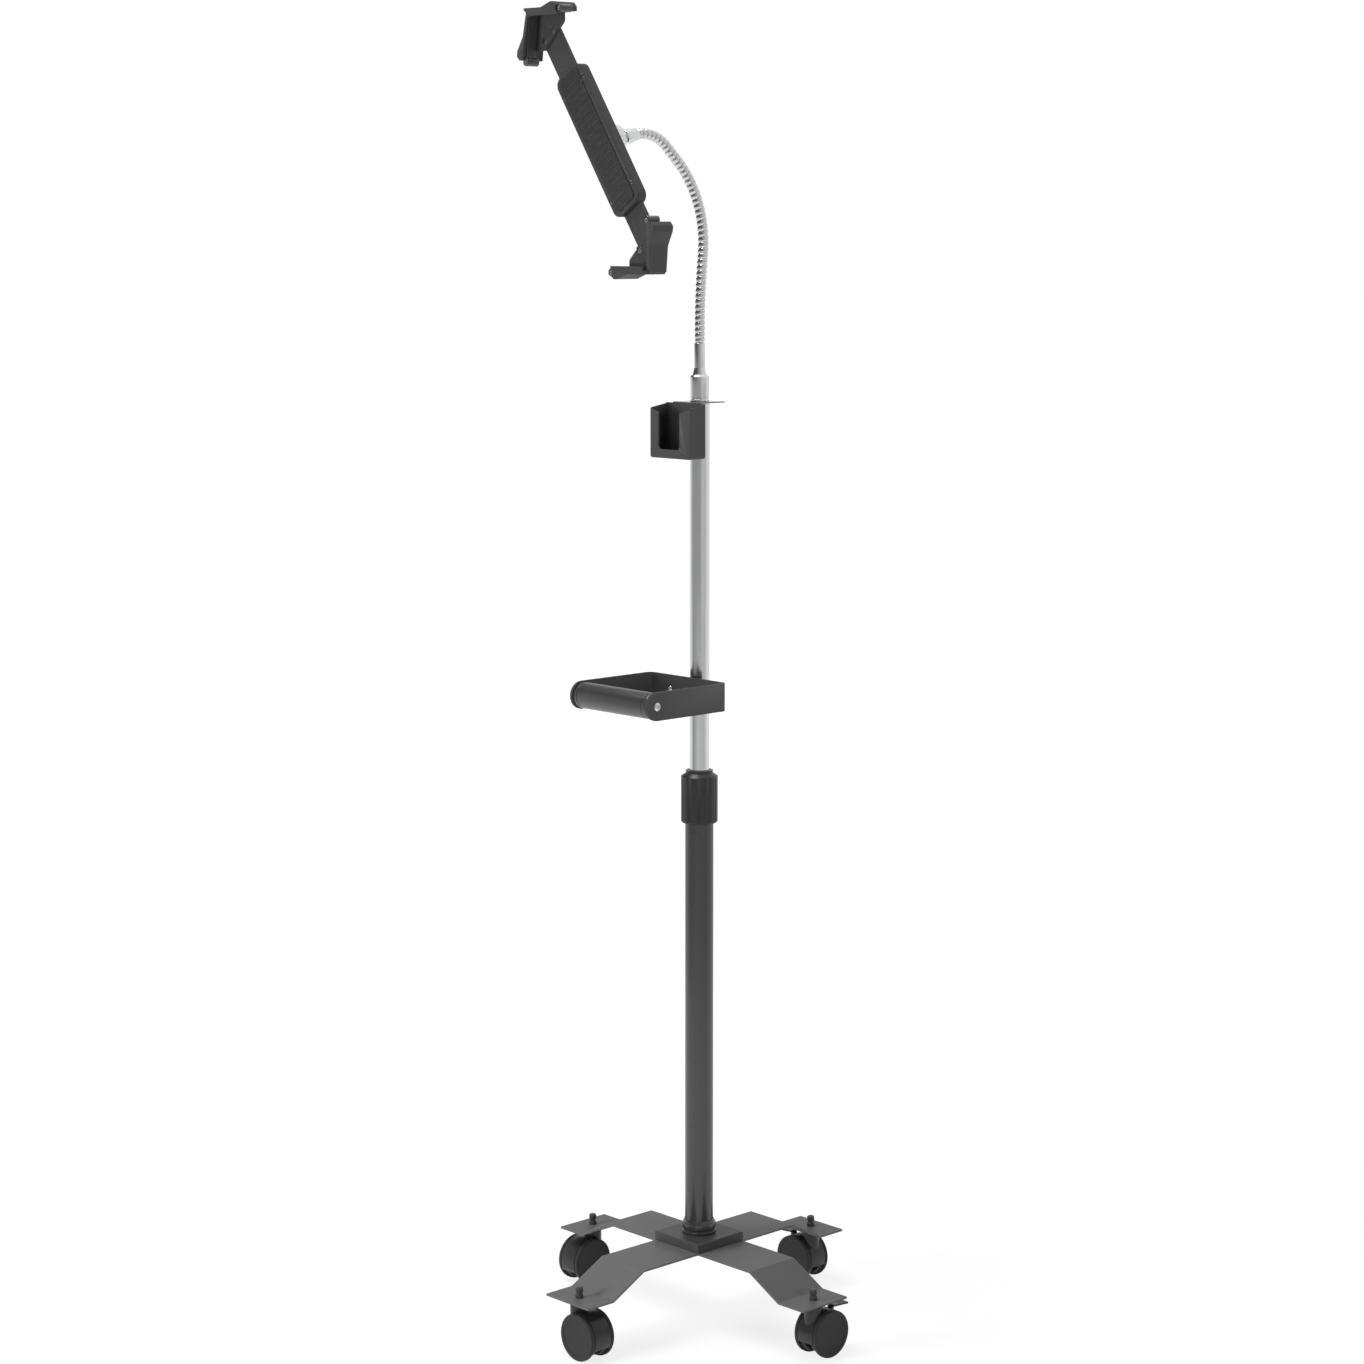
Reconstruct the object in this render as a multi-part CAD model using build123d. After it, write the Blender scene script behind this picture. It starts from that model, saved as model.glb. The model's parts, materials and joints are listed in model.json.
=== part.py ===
# Adjustable tablet floor stand on four twin-wheel casters.
# Millimetres, +Z up. The origin is on the floor under the pole's axis.
# -Y is the front, where the handle, the pocket and the tablet holder are, and +X is the right.

import os
from math import acos, asin, atan2, cos, degrees, hypot, pi, radians, sin, sqrt, tan

from build123d import *

os.makedirs("parts", exist_ok=True)

# Overruns and fits that many pieces share
overrun = 1.0            # how far a cutting shape passes a face
slip = 0.08              # radial clearance of a part that runs in or on another
seat_gap = 0.3           # clearance between pieces that move past each other
fixed_gap = 0.1          # radial clearance of a bolt, tube or sleeve that stays put

# Base: one cross of sheet steel with four bent legs
leg_width = 65.5
leg_reach = 189.0        # pole axis to a leg's tip
foot_length = 35.8       # the level foot pad, from its bend to the tip
slope_run = 42.6         # how far out the leg goes while it falls
foot_top = 61.6
deck_top = 84.4
base_sheet = 2.0
bend_radius = 3.0
caster_inset = 17.5      # a caster's stem to the leg's tip

# Cap, socket and bolt that hold the pole on the cross
cap_side = 66.8
cap_height = 10.0
cap_sheet = 2.5
cap_edge = 1.2
socket_radius = 18.0
socket_height = 15.0
socket_floor = 3.0
socket_groove_depth = 1.0
socket_groove_height = 2.2
socket_chamfer = 4.0
foot_bolt_radius = 5.0
foot_bolt_head = 8.5     # half the head's width over corners
foot_bolt_head_height = 6.4
foot_plug_height = 26.0
foot_bolt_spare = 2.0    # plug left above the bolt's end

# Poles and height clutch
pole_radius = 15.0
pole_wall = 1.5
upper_radius = 10.5
upper_wall = 1.2
collar_radius = 19.5
collar_bottom = 541.0
collar_top = 597.0
collar_foot_radius = 18.3
collar_foot_height = 1.2
collar_shoulder = 3.5    # height of the chamfered shoulder
collar_ring_radius = 14.4
collar_ring_height = 3.0
collar_flute_radius = 1.5
collar_flute_count = 12
collar_cover = 18.0      # how far the collar reaches down over the lower pole
collet_flange = 2.0
collet_skirt = 24.0      # collet inside the lower pole
collet_finger_height = 26.0
collet_finger_taper = 1.6
collet_slit = 1.6
collet_slit_count = 4
overlap = 330.0          # upper pole inside the lower one, below the collar's top
guide_height = 20.0
guide_spigot = 22.0
guide_land = 5.0         # height of each running land of the guide
guide_relief = 0.8

# Handle on the upper pole
handle_half_width = 58.3
handle_back = 15.4       # pole axis to the frame's rear face
handle_axis = 114.5      # pole axis to the grip's axis
handle_above_collar = 85.0
handle_height = 29.2
handle_sheet = 3.0
handle_bend = 4.0
grip_radius = 13.6
grip_end_gap = 0.3
grip_end_round = 1.5
grip_screw_radius = 2.0
grip_screw_length = 14.0
grip_screw_head = 4.3
grip_screw_head_height = 2.0
strap_sheet = 2.5
strap_height = 15.0
strap_half_width = 32.0
strap_bolt_reach = 24.7
strap_bolt_radius = 2.5
strap_bolt_head = 3.6
strap_bolt_head_height = 2.8
strap_nut = 4.6          # half the nut's width over corners
strap_nut_height = 4.0
saddle_half_width = 9.6

# Sheet metal pocket in front of the pole's top
pocket_half_width = 29.2
pocket_front = 43.9
pocket_back = 18.3
pocket_bottom = 925.4
pocket_side_top = 976.9  # top of the side walls at the front
pocket_tab_top = 982.6
pocket_sheet = 2.0
pocket_edge_round = 2.6
pocket_slot_half_width = 16.0
pocket_slot_bottom = 934.8
pocket_slot_round = 3.5
pocket_lip_drop = 4.6    # how far the front edge falls towards the slot
pocket_tab_half_width = 19.3

# Lower ferrule and the pole's threaded insert
pole_insert_height = 18.0
ferrule_radius = 10.0
ferrule_top = 1009.7
ferrule_groove_depth = 0.7
ferrule_groove_height = 1.2
ferrule_groove_place = 2.6
ferrule_shoulder = 1.4
ferrule_stud_radius = 5.0
ferrule_stud_length = 15.0
sleeve_radius = 5.8
sleeve_foot_radius = 7.4
sleeve_flare = 7.0
sleeve_top = 1042.5
sleeve_bore_depth = 21.0

# Gooseneck
neck_crest_radius = 5.4
neck_valley_radius = 4.35
neck_bore_radius = 3.0
neck_pitch = 5.75
neck_crest_shares = (0.22, 0.70)
neck_lead = 10.8         # straight run above the lower sleeve
neck_lean = 6.4          # degrees that the neck leans back before it turns forward
neck_lean_length = 78.0
neck_main_radius = 112.8
neck_main_heading = 46.8789  # degrees forward of upright after the main turn
neck_run = 21.079        # straight run between the two forward turns
neck_end_radius = 47.7

# Holder seat
seat_half_width = 85.0
seat_half_height = 125.5
seat_depth = 14.5        # thickness that the corner claws take

# Ball joint between the neck and the holder
ball_radius = 8.5
ball_to_seat = 23.0      # ball's centre to the plane that a tablet's back rests on
ball_droop = 11.5        # degrees that the neck's end points down
ball_neck_radius = 3.0
ball_stud_thread = 5.0
ball_liner_wall = 1.5
ball_fit = 0.15
ball_liner_rim = 1.0     # how far in front of the ball's centre the liner ends
upper_ferrule_start = 14.0
upper_ferrule_floor = 6.0
upper_ferrule_wide = 9.0
upper_ferrule_length = 18.0
upper_ferrule_radius = 7.6
upper_ferrule_slim = 6.5
boss_radius = 13.0
boss_rise = 1.0          # boss's rim behind the ball's centre
lock_radius = 15.6
lock_front = 5.6         # front face of the lock ring ahead of the ball's centre
lock_lip = 2.0
lock_lip_start = 3.2
lock_mouth_radius = 6.9
lock_knurl_radius = 1.3
lock_knurl_count = 16

# Holder housing, built along the seat's diagonal
housing_half_length = 82.0
housing_half_width = 20.0
housing_round = 9.0
housing_depth = 10.0
housing_wall = 2.7
housing_edge = 1.6
cover_sheet = 2.0
cover_pad_sheet = 1.5
cover_pad_margin = 5.0
arm_half_width = 14.0
arm_sheet = 3.2
arm_end_inset = 21.6     # seat's corner to the arm's outer end, along the diagonal
arm_inner = 40.0         # how far an arm reaches past the middle
arm_in_travel = 32.0
arm_out_travel = 24.0
arm_end_chamfer = 5.0
arm_block_length = 12.0
cover_screw_radius = 1.25
cover_screw_head = 2.2
cover_screw_head_height = 1.2
cover_screw_length = 7.0
cover_screw_reach = 62.0
cover_screw_offset = 17.2

# Centring pinion and racks
gear_module = 1.0
gear_teeth = 16
gear_pressure = 20.0     # degrees
gear_backlash = 0.16
gear_addendum = 0.92
gear_dedendum = 1.2
gear_pin_radius = 2.5
slot_clear = 0.4

# Lock knob on the holder's back
knob_place = 50.0        # along the diagonal, towards the lower claw
knob_screw_radius = 2.5
knob_radius = 10.5
knob_height = 10.0
knob_gap = 0.5
knob_lobe_radius = 2.6
knob_lobe_count = 6

# Corner claws, measured from the seat's corner: along an arm, outward, and back
claw_corner = 5.6        # wall thickness at the outer corner
claw_wall = 5.4
claw_hump = 10.5
claw_inner = 1.6         # inner face of the wall, behind the rubber liner
claw_wall_end = 22.0     # where the wall starts to swell
claw_hump_start = 36.0
claw_hump_end = 41.5
claw_tip = 45.5
claw_tip_outer = 6.0
claw_lean = 0.12         # outward lean of the upright arm
claw_level_front = 16.6  # front face ahead of the seat's back plane, on the level arm
claw_corner_front = 12.0
claw_tip_front = 16.0
claw_rear = 11.0         # rear face behind the seat's back plane
claw_hook = 2.3          # how far the level arm's lip hooks over a tablet's front
claw_hook_gap = 0.3
claw_floor = 3.8
claw_floor_long = 36.0
claw_floor_end = 8.0
claw_round = 3.0
claw_edge_round = 1.2
roll_radius = 3.9
roll_place = 47.3
roll_rear = 1.0
claw_screw_radius = 1.5
claw_screw_head = 3.0
claw_screw_head_height = 1.6
claw_screw_from_end = 4.5
claw_screw_offset = 8.0

# Twin-wheel casters, in their own frame: stem on the Z axis, wheels trailing to +X
wheel_radius = 25.0
wheel_inner = 4.6        # stem's plane to a wheel's inner face
wheel_outer = 15.6
wheel_flange = 11.4      # stem's plane to the inner face of the wheel's running edge
wheel_drum_radius = 22.4
wheel_face_sheet = 2.6
wheel_rim = 3.4
wheel_hub_radius = 6.5
wheel_edge = 1.3
wheel_dish = 0.7
wheel_dish_radius = 20.5
axle_radius = 3.0
axle_fit = 0.05
axle_end_gap = 0.4
trail = 12.5
hood_clear = 0.5
hood_sheet = 2.2
hood_width_gap = 0.4
hood_web = 4.1
hood_web_radius = 14.0
hood_rear_angle = -24.0  # degrees from the trailing side where the hood ends
hood_front_angle = 196.0
hood_neck_radius = 9.6
stem_pin_radius = 5.0
stem_pin_bottom = 45.6
stem_flange_height = 3.0
stem_flange_radius = 7.2
stem_shank_radius = 4.3  # plain shank through the foot, below the stud
stem_stud_radius = 4.0
stem_stud_top = 73.4
stem_waist_radius = 3.2
stem_waist_height = 2.6
stem_tip_height = 5.2
stem_chamfer = 1.0

# Brake pedals on the right and back casters
pedal_half_width = 6.0
pedal_sheet = 2.2
pedal_root = 24.0        # stem to the pedal's leg
pedal_reach = 46.5       # stem to the pedal's outer edge
pedal_root_top = 51.8
pedal_outer_top = 50.2
pedal_leg_depth = 4.2
pedal_leg_half = 3.0
pedal_leg_foot = 40.5
pedal_slot_gap = 0.7     # room for the leg to swing
pedal_side_gap = 0.3
pedal_pin_radius = 1.5
pedal_pin_place = 26.1
pedal_pin_height = 44.0


# Values that follow from the ones above
foot_start = leg_reach - foot_length
slope_start = foot_start - slope_run
caster_reach = leg_reach - caster_inset
handle_middle = collar_top + handle_above_collar
cap_top = deck_top + cap_height
deck_bottom = deck_top - base_sheet
foot_bottom = foot_top - base_sheet
pole_foot = cap_top + socket_floor
pole_inner = pole_radius - pole_wall
upper_inner = upper_radius - upper_wall
collar_seat = collar_bottom + collar_cover
upper_bottom = collar_top - overlap
upper_top = pocket_tab_top - pocket_sheet
strap_low = handle_middle - strap_height / 2
strap_high = handle_middle + strap_height / 2
seat_diagonal = hypot(seat_half_width, seat_half_height)
arm_end = seat_diagonal - arm_end_inset
arm_block_start = arm_end - arm_block_length
tilt_share = seat_half_width / seat_diagonal
rise_share = seat_half_height / seat_diagonal
cover_front = cover_pad_sheet
housing_front = cover_front + cover_sheet
layer_front = housing_front + seat_gap
layer_middle = layer_front + arm_sheet
layer_back = layer_middle + seat_gap
layer_end = layer_back + arm_sheet
cavity_back = layer_end + seat_gap
housing_back = housing_front + housing_depth
channel_half_width = arm_half_width + seat_gap
gear_pitch_radius = gear_module * gear_teeth / 2
gear_tip_radius = gear_pitch_radius + gear_addendum
gear_root_radius = gear_pitch_radius - gear_dedendum
stem_shoulder = foot_bottom - stem_flange_height
hood_top = stem_shoulder - seat_gap
hood_inner = wheel_drum_radius + hood_clear
hood_outer = hood_inner + hood_sheet
hood_half_width = wheel_flange - hood_width_gap
inner_collet = upper_radius + slip
collet_top = collar_seat + collet_flange + collet_finger_height

centred_low = (Align.CENTER, Align.CENTER, Align.MIN)
centred = (Align.CENTER, Align.CENTER, Align.CENTER)


def save(name, *solids):
    # one node, written as one file
    shape = solids[0] if len(solids) == 1 else Compound(children=list(solids))
    export_step(shape, f"parts/{name}.step")


def rod(radius, low, high):
    # upright cylinder between two heights
    return Pos(0, 0, low) * Cylinder(radius, high - low, align=centred_low)


def rod_back(radius, x, z, front, back):
    # cylinder along +Y between two depths
    return Pos(x, front, z) * Rot(-90, 0, 0) * Cylinder(radius, back - front, align=centred_low)


def rod_side(radius, y, z, left, right):
    # cylinder along +X
    return Pos(left, y, z) * Rot(0, 90, 0) * Cylinder(radius, right - left, align=centred_low)


def hexagon(corner_radius, low, high):
    # upright hexagonal prism, by the radius to its corners
    return extrude(Pos(0, 0, low) * RegularPolygon(corner_radius, 6), amount=high - low)


def block(x_low, x_high, y_low, y_high, z_low, z_high):
    # box between two corners
    middle = Pos((x_low + x_high) / 2, (y_low + y_high) / 2, (z_low + z_high) / 2)
    return middle * Box(x_high - x_low, y_high - y_low, z_high - z_low)


def turned(*profile):
    # solid of revolution about Z of an outline in radius and height
    return revolve(make_face(Plane.XZ * Polyline(*profile, close=True)), Axis.Z)


def prism(plane, points, thickness):
    # outline on a plane, extruded along the plane's normal
    outline = make_face(plane * Polyline(*points, close=True))
    return extrude(outline, amount=thickness, dir=plane.z_dir)


def facing_front(back):
    # plane seen from the front: x to the right, y up, its normal towards -Y
    return Plane(origin=(0, back, 0), x_dir=(1, 0, 0), z_dir=(0, -1, 0))


def facing_side(left):
    # plane seen from the left: x to the back, y up, its normal towards +X
    return Plane(origin=(left, 0, 0), x_dir=(0, 1, 0), z_dir=(1, 0, 0))


# Base

def bent_strip():
    # one leg, the deck and the opposite leg, in section, then pulled to the leg's width
    fall = atan2(deck_top - foot_top, foot_start - slope_start)
    shift = base_sheet * tan(fall / 2)
    right_top = [(slope_start, deck_top), (foot_start, foot_top), (leg_reach, foot_top)]
    right_low = [(leg_reach, foot_bottom), (foot_start - shift, foot_bottom),
                 (slope_start - shift, deck_bottom)]
    right = right_top + right_low
    left = [(-x, z) for x, z in reversed(right)]
    outline = make_face(Plane.XZ * Polyline(*right, *left, close=True))
    outer = bend_radius + base_sheet
    for x, z, radius in [(slope_start, deck_top, outer), (foot_start, foot_top, bend_radius),
                         (foot_start - shift, foot_bottom, outer),
                         (slope_start - shift, deck_bottom, bend_radius)]:
        for side in (1, -1):
            corner = outline.vertices().sort_by_distance((side * x, 0, z))[0]
            outline = fillet(corner, radius)
    strip = extrude(outline, amount=leg_width / 2, both=True)
    return strip


def base_cross():
    strip = bent_strip()
    cross = strip + Rot(0, 0, 90) * strip
    for turn in range(4):
        hole = Pos(0, -caster_reach, 0) * rod(stem_shank_radius + fixed_gap, foot_bottom - overrun,
                                              foot_top + overrun)
        cross -= Rot(0, 0, 90 * turn) * hole
    return cross - rod(foot_bolt_radius + fixed_gap, deck_bottom - overrun, deck_top + overrun)


def hub_cap():
    half = cap_side / 2
    cap = block(-half, half, -half, half, deck_top, cap_top)
    cap = chamfer(cap.edges().filter_by_position(Axis.Z, cap_top, cap_top), cap_edge)
    hollow = half - cap_sheet
    cap -= block(-hollow, hollow, -hollow, hollow, deck_top - overrun, cap_top - cap_sheet)
    return cap - rod(foot_bolt_radius + fixed_gap, deck_top, cap_top + overrun)


def pole_socket():
    top = cap_top + socket_height
    bore = pole_radius + fixed_gap
    groove_top = cap_top + socket_floor + socket_groove_height
    groove = socket_radius - socket_groove_depth
    hole = foot_bolt_radius + fixed_gap
    return turned((hole, cap_top), (socket_radius, cap_top), (socket_radius, cap_top + socket_floor),
                  (groove, cap_top + socket_floor), (groove, groove_top), (socket_radius, groove_top),
                  (socket_radius, top - socket_chamfer), (bore + fixed_gap, top), (bore, top),
                  (bore, pole_foot), (hole, pole_foot))


def lower_pole():
    bore = rod(pole_inner, pole_foot - overrun, collar_seat + overrun)
    return rod(pole_radius, pole_foot, collar_seat) - bore


def pole_foot_plug():
    # threaded plug pressed into the pole's foot
    plug = rod(pole_inner - fixed_gap, pole_foot, pole_foot + foot_plug_height)
    return plug - rod(foot_bolt_radius + fixed_gap, pole_foot - overrun,
                      pole_foot + foot_plug_height + overrun)


def foot_bolt():
    end = pole_foot + foot_plug_height - foot_bolt_spare
    head = hexagon(foot_bolt_head, deck_bottom - foot_bolt_head_height, deck_bottom)
    return head + rod(foot_bolt_radius, deck_bottom - foot_bolt_head_height, end)


# Height clutch

def clutch_collet():
    # split bush on top of the lower pole that the collar squeezes on the upper pole
    skirt = pole_inner - fixed_gap
    rim = collar_seat + collet_flange
    tip = pole_inner - collet_finger_taper
    bush = turned((inner_collet, collar_seat - collet_skirt), (skirt, collar_seat - collet_skirt),
                  (skirt, collar_seat), (pole_radius, collar_seat), (pole_radius, rim),
                  (pole_inner, rim), (tip, collet_top), (inner_collet, collet_top))
    for turn in range(collet_slit_count // 2):
        slit = block(-pole_radius, pole_radius, -collet_slit / 2, collet_slit / 2,
                     rim + collet_flange, collet_top + overrun)
        bush -= Rot(0, 0, 180 * turn / (collet_slit_count // 2)) * slit
    return bush


def clutch_collar():
    bore = pole_radius + seat_gap
    cone_top = pole_inner - collet_finger_taper + seat_gap
    rim = collar_seat + collet_flange
    neck = upper_radius + seat_gap
    shoulder = collar_top - collar_ring_height - collar_shoulder
    ring = collar_top - collar_ring_height
    foot = collar_bottom + collar_foot_height
    collar = turned((bore, collar_bottom), (collar_foot_radius, collar_bottom),
                    (collar_foot_radius, foot), (collar_radius, foot), (collar_radius, shoulder),
                    (collar_ring_radius, ring), (collar_ring_radius, collar_top), (neck, collar_top),
                    (neck, collet_top + seat_gap), (cone_top, collet_top + seat_gap),
                    (pole_inner + seat_gap, rim + seat_gap), (bore, rim + seat_gap))
    for turn in range(collar_flute_count):
        flute = Pos(collar_radius + collar_flute_radius / 2, 0, 0) * rod(
            collar_flute_radius, foot + collar_foot_height, shoulder - collar_foot_height)
        collar -= Rot(0, 0, 360 * turn / collar_flute_count) * flute
    return collar


# Upper pole and what is clamped on it

def guide_plug():
    # plastic guide that runs in the lower pole and turns under the upper one
    land = pole_inner - slip
    relief = land - guide_relief
    low = upper_bottom - seat_gap - guide_height
    high = upper_bottom - seat_gap
    spigot = upper_inner - slip
    return turned((0, low), (land, low), (land, low + guide_land), (relief, low + guide_land),
                  (relief, high - guide_land), (land, high - guide_land), (land, high),
                  (spigot, high), (spigot, high + guide_spigot), (0, high + guide_spigot))


def upper_pole():
    return rod(upper_radius, upper_bottom, upper_top) - rod(upper_inner, upper_bottom - overrun,
                                                            upper_top + overrun)


def handle_frame():
    half = handle_half_width
    inside = half - handle_sheet
    back = -handle_back
    front = -handle_axis - handle_height / 2
    low = handle_middle - handle_height / 2
    high = handle_middle + handle_height / 2
    bent = block(-half, half, front, back, low, high)
    bent = fillet(bent.edges().filter_by(Axis.Z).sort_by(Axis.Y)[-2:], handle_bend)
    room = block(-inside, inside, front - overrun, back - handle_sheet, low - overrun, high + overrun)
    room = fillet(room.edges().filter_by(Axis.Z).sort_by(Axis.Y)[-2:], handle_bend - handle_sheet + overrun)
    bent -= room
    # the side plates end in half rounds about the grip's axis
    ends = rod_side(handle_height / 2, -handle_axis, handle_middle, -half, half)
    bent &= block(-half, half, -handle_axis, back, low, high) + ends
    bent -= rod_side(grip_screw_radius + fixed_gap, -handle_axis, handle_middle, -half - overrun,
                     half + overrun)
    for side in (-1, 1):
        bent -= rod_back(strap_bolt_radius + fixed_gap, side * strap_bolt_reach, handle_middle,
                         back - handle_sheet - overrun, back + overrun)
    return bent


def handle_grip():
    reach = handle_half_width - handle_sheet - grip_end_gap
    grip = rod_side(grip_radius, -handle_axis, handle_middle, -reach, reach)
    grip = fillet(grip.edges().filter_by(GeomType.CIRCLE), grip_end_round)
    return grip - rod_side(grip_screw_radius + fixed_gap, -handle_axis, handle_middle,
                           -reach - overrun, reach + overrun)


def grip_screws():
    # one pan head screw through each side plate into the core
    screws = []
    for side in (-1, 1):
        face = side * handle_half_width
        tip = face - side * grip_screw_length
        head = face + side * grip_screw_head_height
        shank = rod_side(grip_screw_radius, -handle_axis, handle_middle, min(tip, head), max(tip, head))
        cap = rod_side(grip_screw_head, -handle_axis, handle_middle, min(face, head), max(face, head))
        outer = cap.edges().filter_by(GeomType.CIRCLE).sort_by(Axis.X)[-1 if side > 0 else 0]
        screws.append(shank + fillet(outer, grip_screw_head_height / 2))
    return screws


def handle_strap():
    # bent strap that pulls the pole against the saddle
    inner = upper_radius + fixed_gap
    outer = inner + strap_sheet
    back = -handle_back
    loop = rod(outer, strap_low, strap_high) + block(-outer, outer, back, 0, strap_low, strap_high)
    loop += block(-strap_half_width, strap_half_width, back, back + strap_sheet, strap_low, strap_high)
    loop -= rod(inner, strap_low - overrun, strap_high + overrun)
    loop -= block(-inner, inner, back - overrun, 0, strap_low - overrun, strap_high + overrun)
    for side in (-1, 1):
        loop -= rod_back(strap_bolt_radius + fixed_gap, side * strap_bolt_reach, handle_middle,
                         back - overrun, back + strap_sheet + overrun)
    return loop


def handle_saddle():
    # block with a hollow face between the frame and the pole
    saddle = block(-saddle_half_width, saddle_half_width, -handle_back, -upper_radius / 2,
                   strap_low, strap_high)
    return saddle - rod(upper_radius + fixed_gap, strap_low - overrun, strap_high + overrun)


def strap_bolts():
    front = -handle_back - handle_sheet
    ear = -handle_back + strap_sheet
    end = ear + strap_nut_height + overrun
    pieces = []
    for side in (-1, 1):
        x = side * strap_bolt_reach
        head = rod_back(strap_bolt_head, x, handle_middle, front - strap_bolt_head_height, front)
        rim = head.edges().filter_by(GeomType.CIRCLE).sort_by(Axis.Y)[0]
        head = fillet(rim, strap_bolt_head_height / 2)
        pieces.append(head + rod_back(strap_bolt_radius, x, handle_middle, front - overrun, end))
        nut = Pos(x, ear, handle_middle) * Rot(-90, 0, 0) * hexagon(strap_nut, 0, strap_nut_height)
        pieces.append(nut - rod_back(strap_bolt_radius + fixed_gap, x, handle_middle, ear - overrun, end))
    return pieces


def pole_pocket():
    half = pocket_half_width
    front = -pocket_front
    back = -pocket_back
    lip = pocket_side_top - pocket_lip_drop
    tab = pocket_tab_half_width
    shell = block(-half, half, front, back, pocket_bottom, pocket_tab_top)
    shell = fillet(shell.edges().filter_by(Axis.Z), pocket_edge_round)
    shell = fillet(shell.faces().sort_by(Axis.Z)[0].edges(), pocket_edge_round)
    wall = pocket_sheet
    shell -= block(-half + wall, half - wall, front + wall, back - wall, pocket_bottom + wall,
                   pocket_tab_top + overrun)
    # the side walls rise from the front corner to the back
    above = pocket_tab_top + overrun
    rise = [(front - overrun, pocket_side_top), (back - wall, upper_top), (back - wall, above),
            (front - overrun, above)]
    shell -= prism(facing_side(-half - overrun), rise, 2 * (half + overrun))
    # outside the tab the back wall ends level with the side walls
    for side in (-1, 1):
        low, high = sorted((side * tab, side * (half + overrun)))
        shell -= block(low, high, back - wall - overrun, back + overrun, upper_top, pocket_tab_top + overrun)
    # the front edge falls towards the slot
    fall = [(-half, pocket_side_top), (-pocket_slot_half_width, lip), (pocket_slot_half_width, lip),
            (half, pocket_side_top), (half, pocket_tab_top), (-half, pocket_tab_top)]
    shell -= prism(facing_front(front + wall), fall, wall + overrun)
    slot = block(-pocket_slot_half_width, pocket_slot_half_width, front - overrun, front + wall + overrun,
                 pocket_slot_bottom, pocket_tab_top + overrun)
    slot = fillet(slot.edges().filter_by(Axis.Y).sort_by(Axis.Z)[:2], pocket_slot_round)
    shell -= slot
    # the tab that the ferrule clamps on the pole's end
    shell += block(-tab, tab, back - wall, tab, upper_top, pocket_tab_top)
    return shell - rod(ferrule_stud_radius + fixed_gap, upper_top - overrun, pocket_tab_top + overrun)


def pole_insert():
    insert = rod(upper_inner - fixed_gap, upper_top - pole_insert_height, upper_top)
    return insert - rod(ferrule_stud_radius + fixed_gap, upper_top - pole_insert_height - overrun,
                        upper_top + overrun)


def lower_ferrule():
    low = pocket_tab_top
    groove = low + ferrule_groove_place
    floor = sleeve_top - sleeve_bore_depth
    inset = ferrule_radius - ferrule_groove_depth
    bore = neck_valley_radius + fixed_gap
    return turned((0, low - ferrule_stud_length), (ferrule_stud_radius, low - ferrule_stud_length),
                  (ferrule_stud_radius, low), (ferrule_radius, low), (ferrule_radius, groove),
                  (inset, groove), (inset, groove + ferrule_groove_height),
                  (ferrule_radius, groove + ferrule_groove_height),
                  (ferrule_radius, ferrule_top - ferrule_shoulder),
                  (ferrule_radius - ferrule_shoulder, ferrule_top), (sleeve_foot_radius, ferrule_top),
                  (sleeve_radius, ferrule_top + sleeve_flare), (sleeve_radius, sleeve_top),
                  (bore, sleeve_top), (bore, floor), (0, floor))


# Gooseneck: a lean back, a long turn forward, a short straight and a tighter end turn

def heading(angle):
    # unit vector in Y and Z of a direction that leans forward by an angle
    return (-sin(angle), cos(angle))


def turning(angle):
    # unit vector towards the centre of a forward turn
    return (-cos(angle), -sin(angle))


def from_ball(distance):
    # point in Y and Z on the neck's end line, measured from the ball's centre
    droop = radians(ball_droop)
    return (-ball_reach + distance * cos(droop), ball_height + distance * sin(droop))


def travel(place, angle, length, radius):
    # point and angle after a length of straight line, or of arc where a signed radius is given
    y, z = place
    if radius is None:
        ahead_y, ahead_z = heading(angle)
        return (y + length * ahead_y, z + length * ahead_z), angle
    from_y, from_z = turning(angle)
    angle += length / radius
    to_y, to_z = turning(angle)
    return (y + radius * (from_y - to_y), z + radius * (from_z - to_z)), angle


def neck_stretches():
    # the neck's centreline as stretches: start point, start angle, length, signed radius or None
    lean = radians(neck_lean)
    forward = radians(neck_main_heading)
    last = pi / 2 + radians(ball_droop)
    place, angle = (0, sleeve_top), 0
    path = []
    for length, radius in [(neck_lead, None), (neck_lean_length, -neck_lean_length / lean),
                           (neck_main_radius * (forward + lean), neck_main_radius), (neck_run, None),
                           (neck_end_radius * (last - forward), neck_end_radius)]:
        path.append((place, angle, length, radius))
        place, angle = travel(place, angle, length, radius)
    return path, place


# The neck's line gives the ball's place, and the ball gives the seat's
stretches, neck_end = neck_stretches()
neck_length = sum(length for _, _, length, _ in stretches)
ball_from_end = upper_ferrule_start + upper_ferrule_length
ball_reach = ball_from_end * cos(radians(ball_droop)) - neck_end[0]
ball_height = neck_end[1] - ball_from_end * sin(radians(ball_droop))
seat_middle = ball_height
seat_back = ball_reach + ball_to_seat


def neck_plane(distance):
    # section plane at a distance along the neck, with a steady X axis
    for place, angle, length, radius in stretches:
        if distance <= length or (place, angle, length, radius) == stretches[-1]:
            break
        distance -= length
    place, angle = travel(place, angle, distance, radius)
    return Plane(origin=(0, *place), x_dir=(1, 0, 0), z_dir=(0, *heading(angle)))


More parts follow.
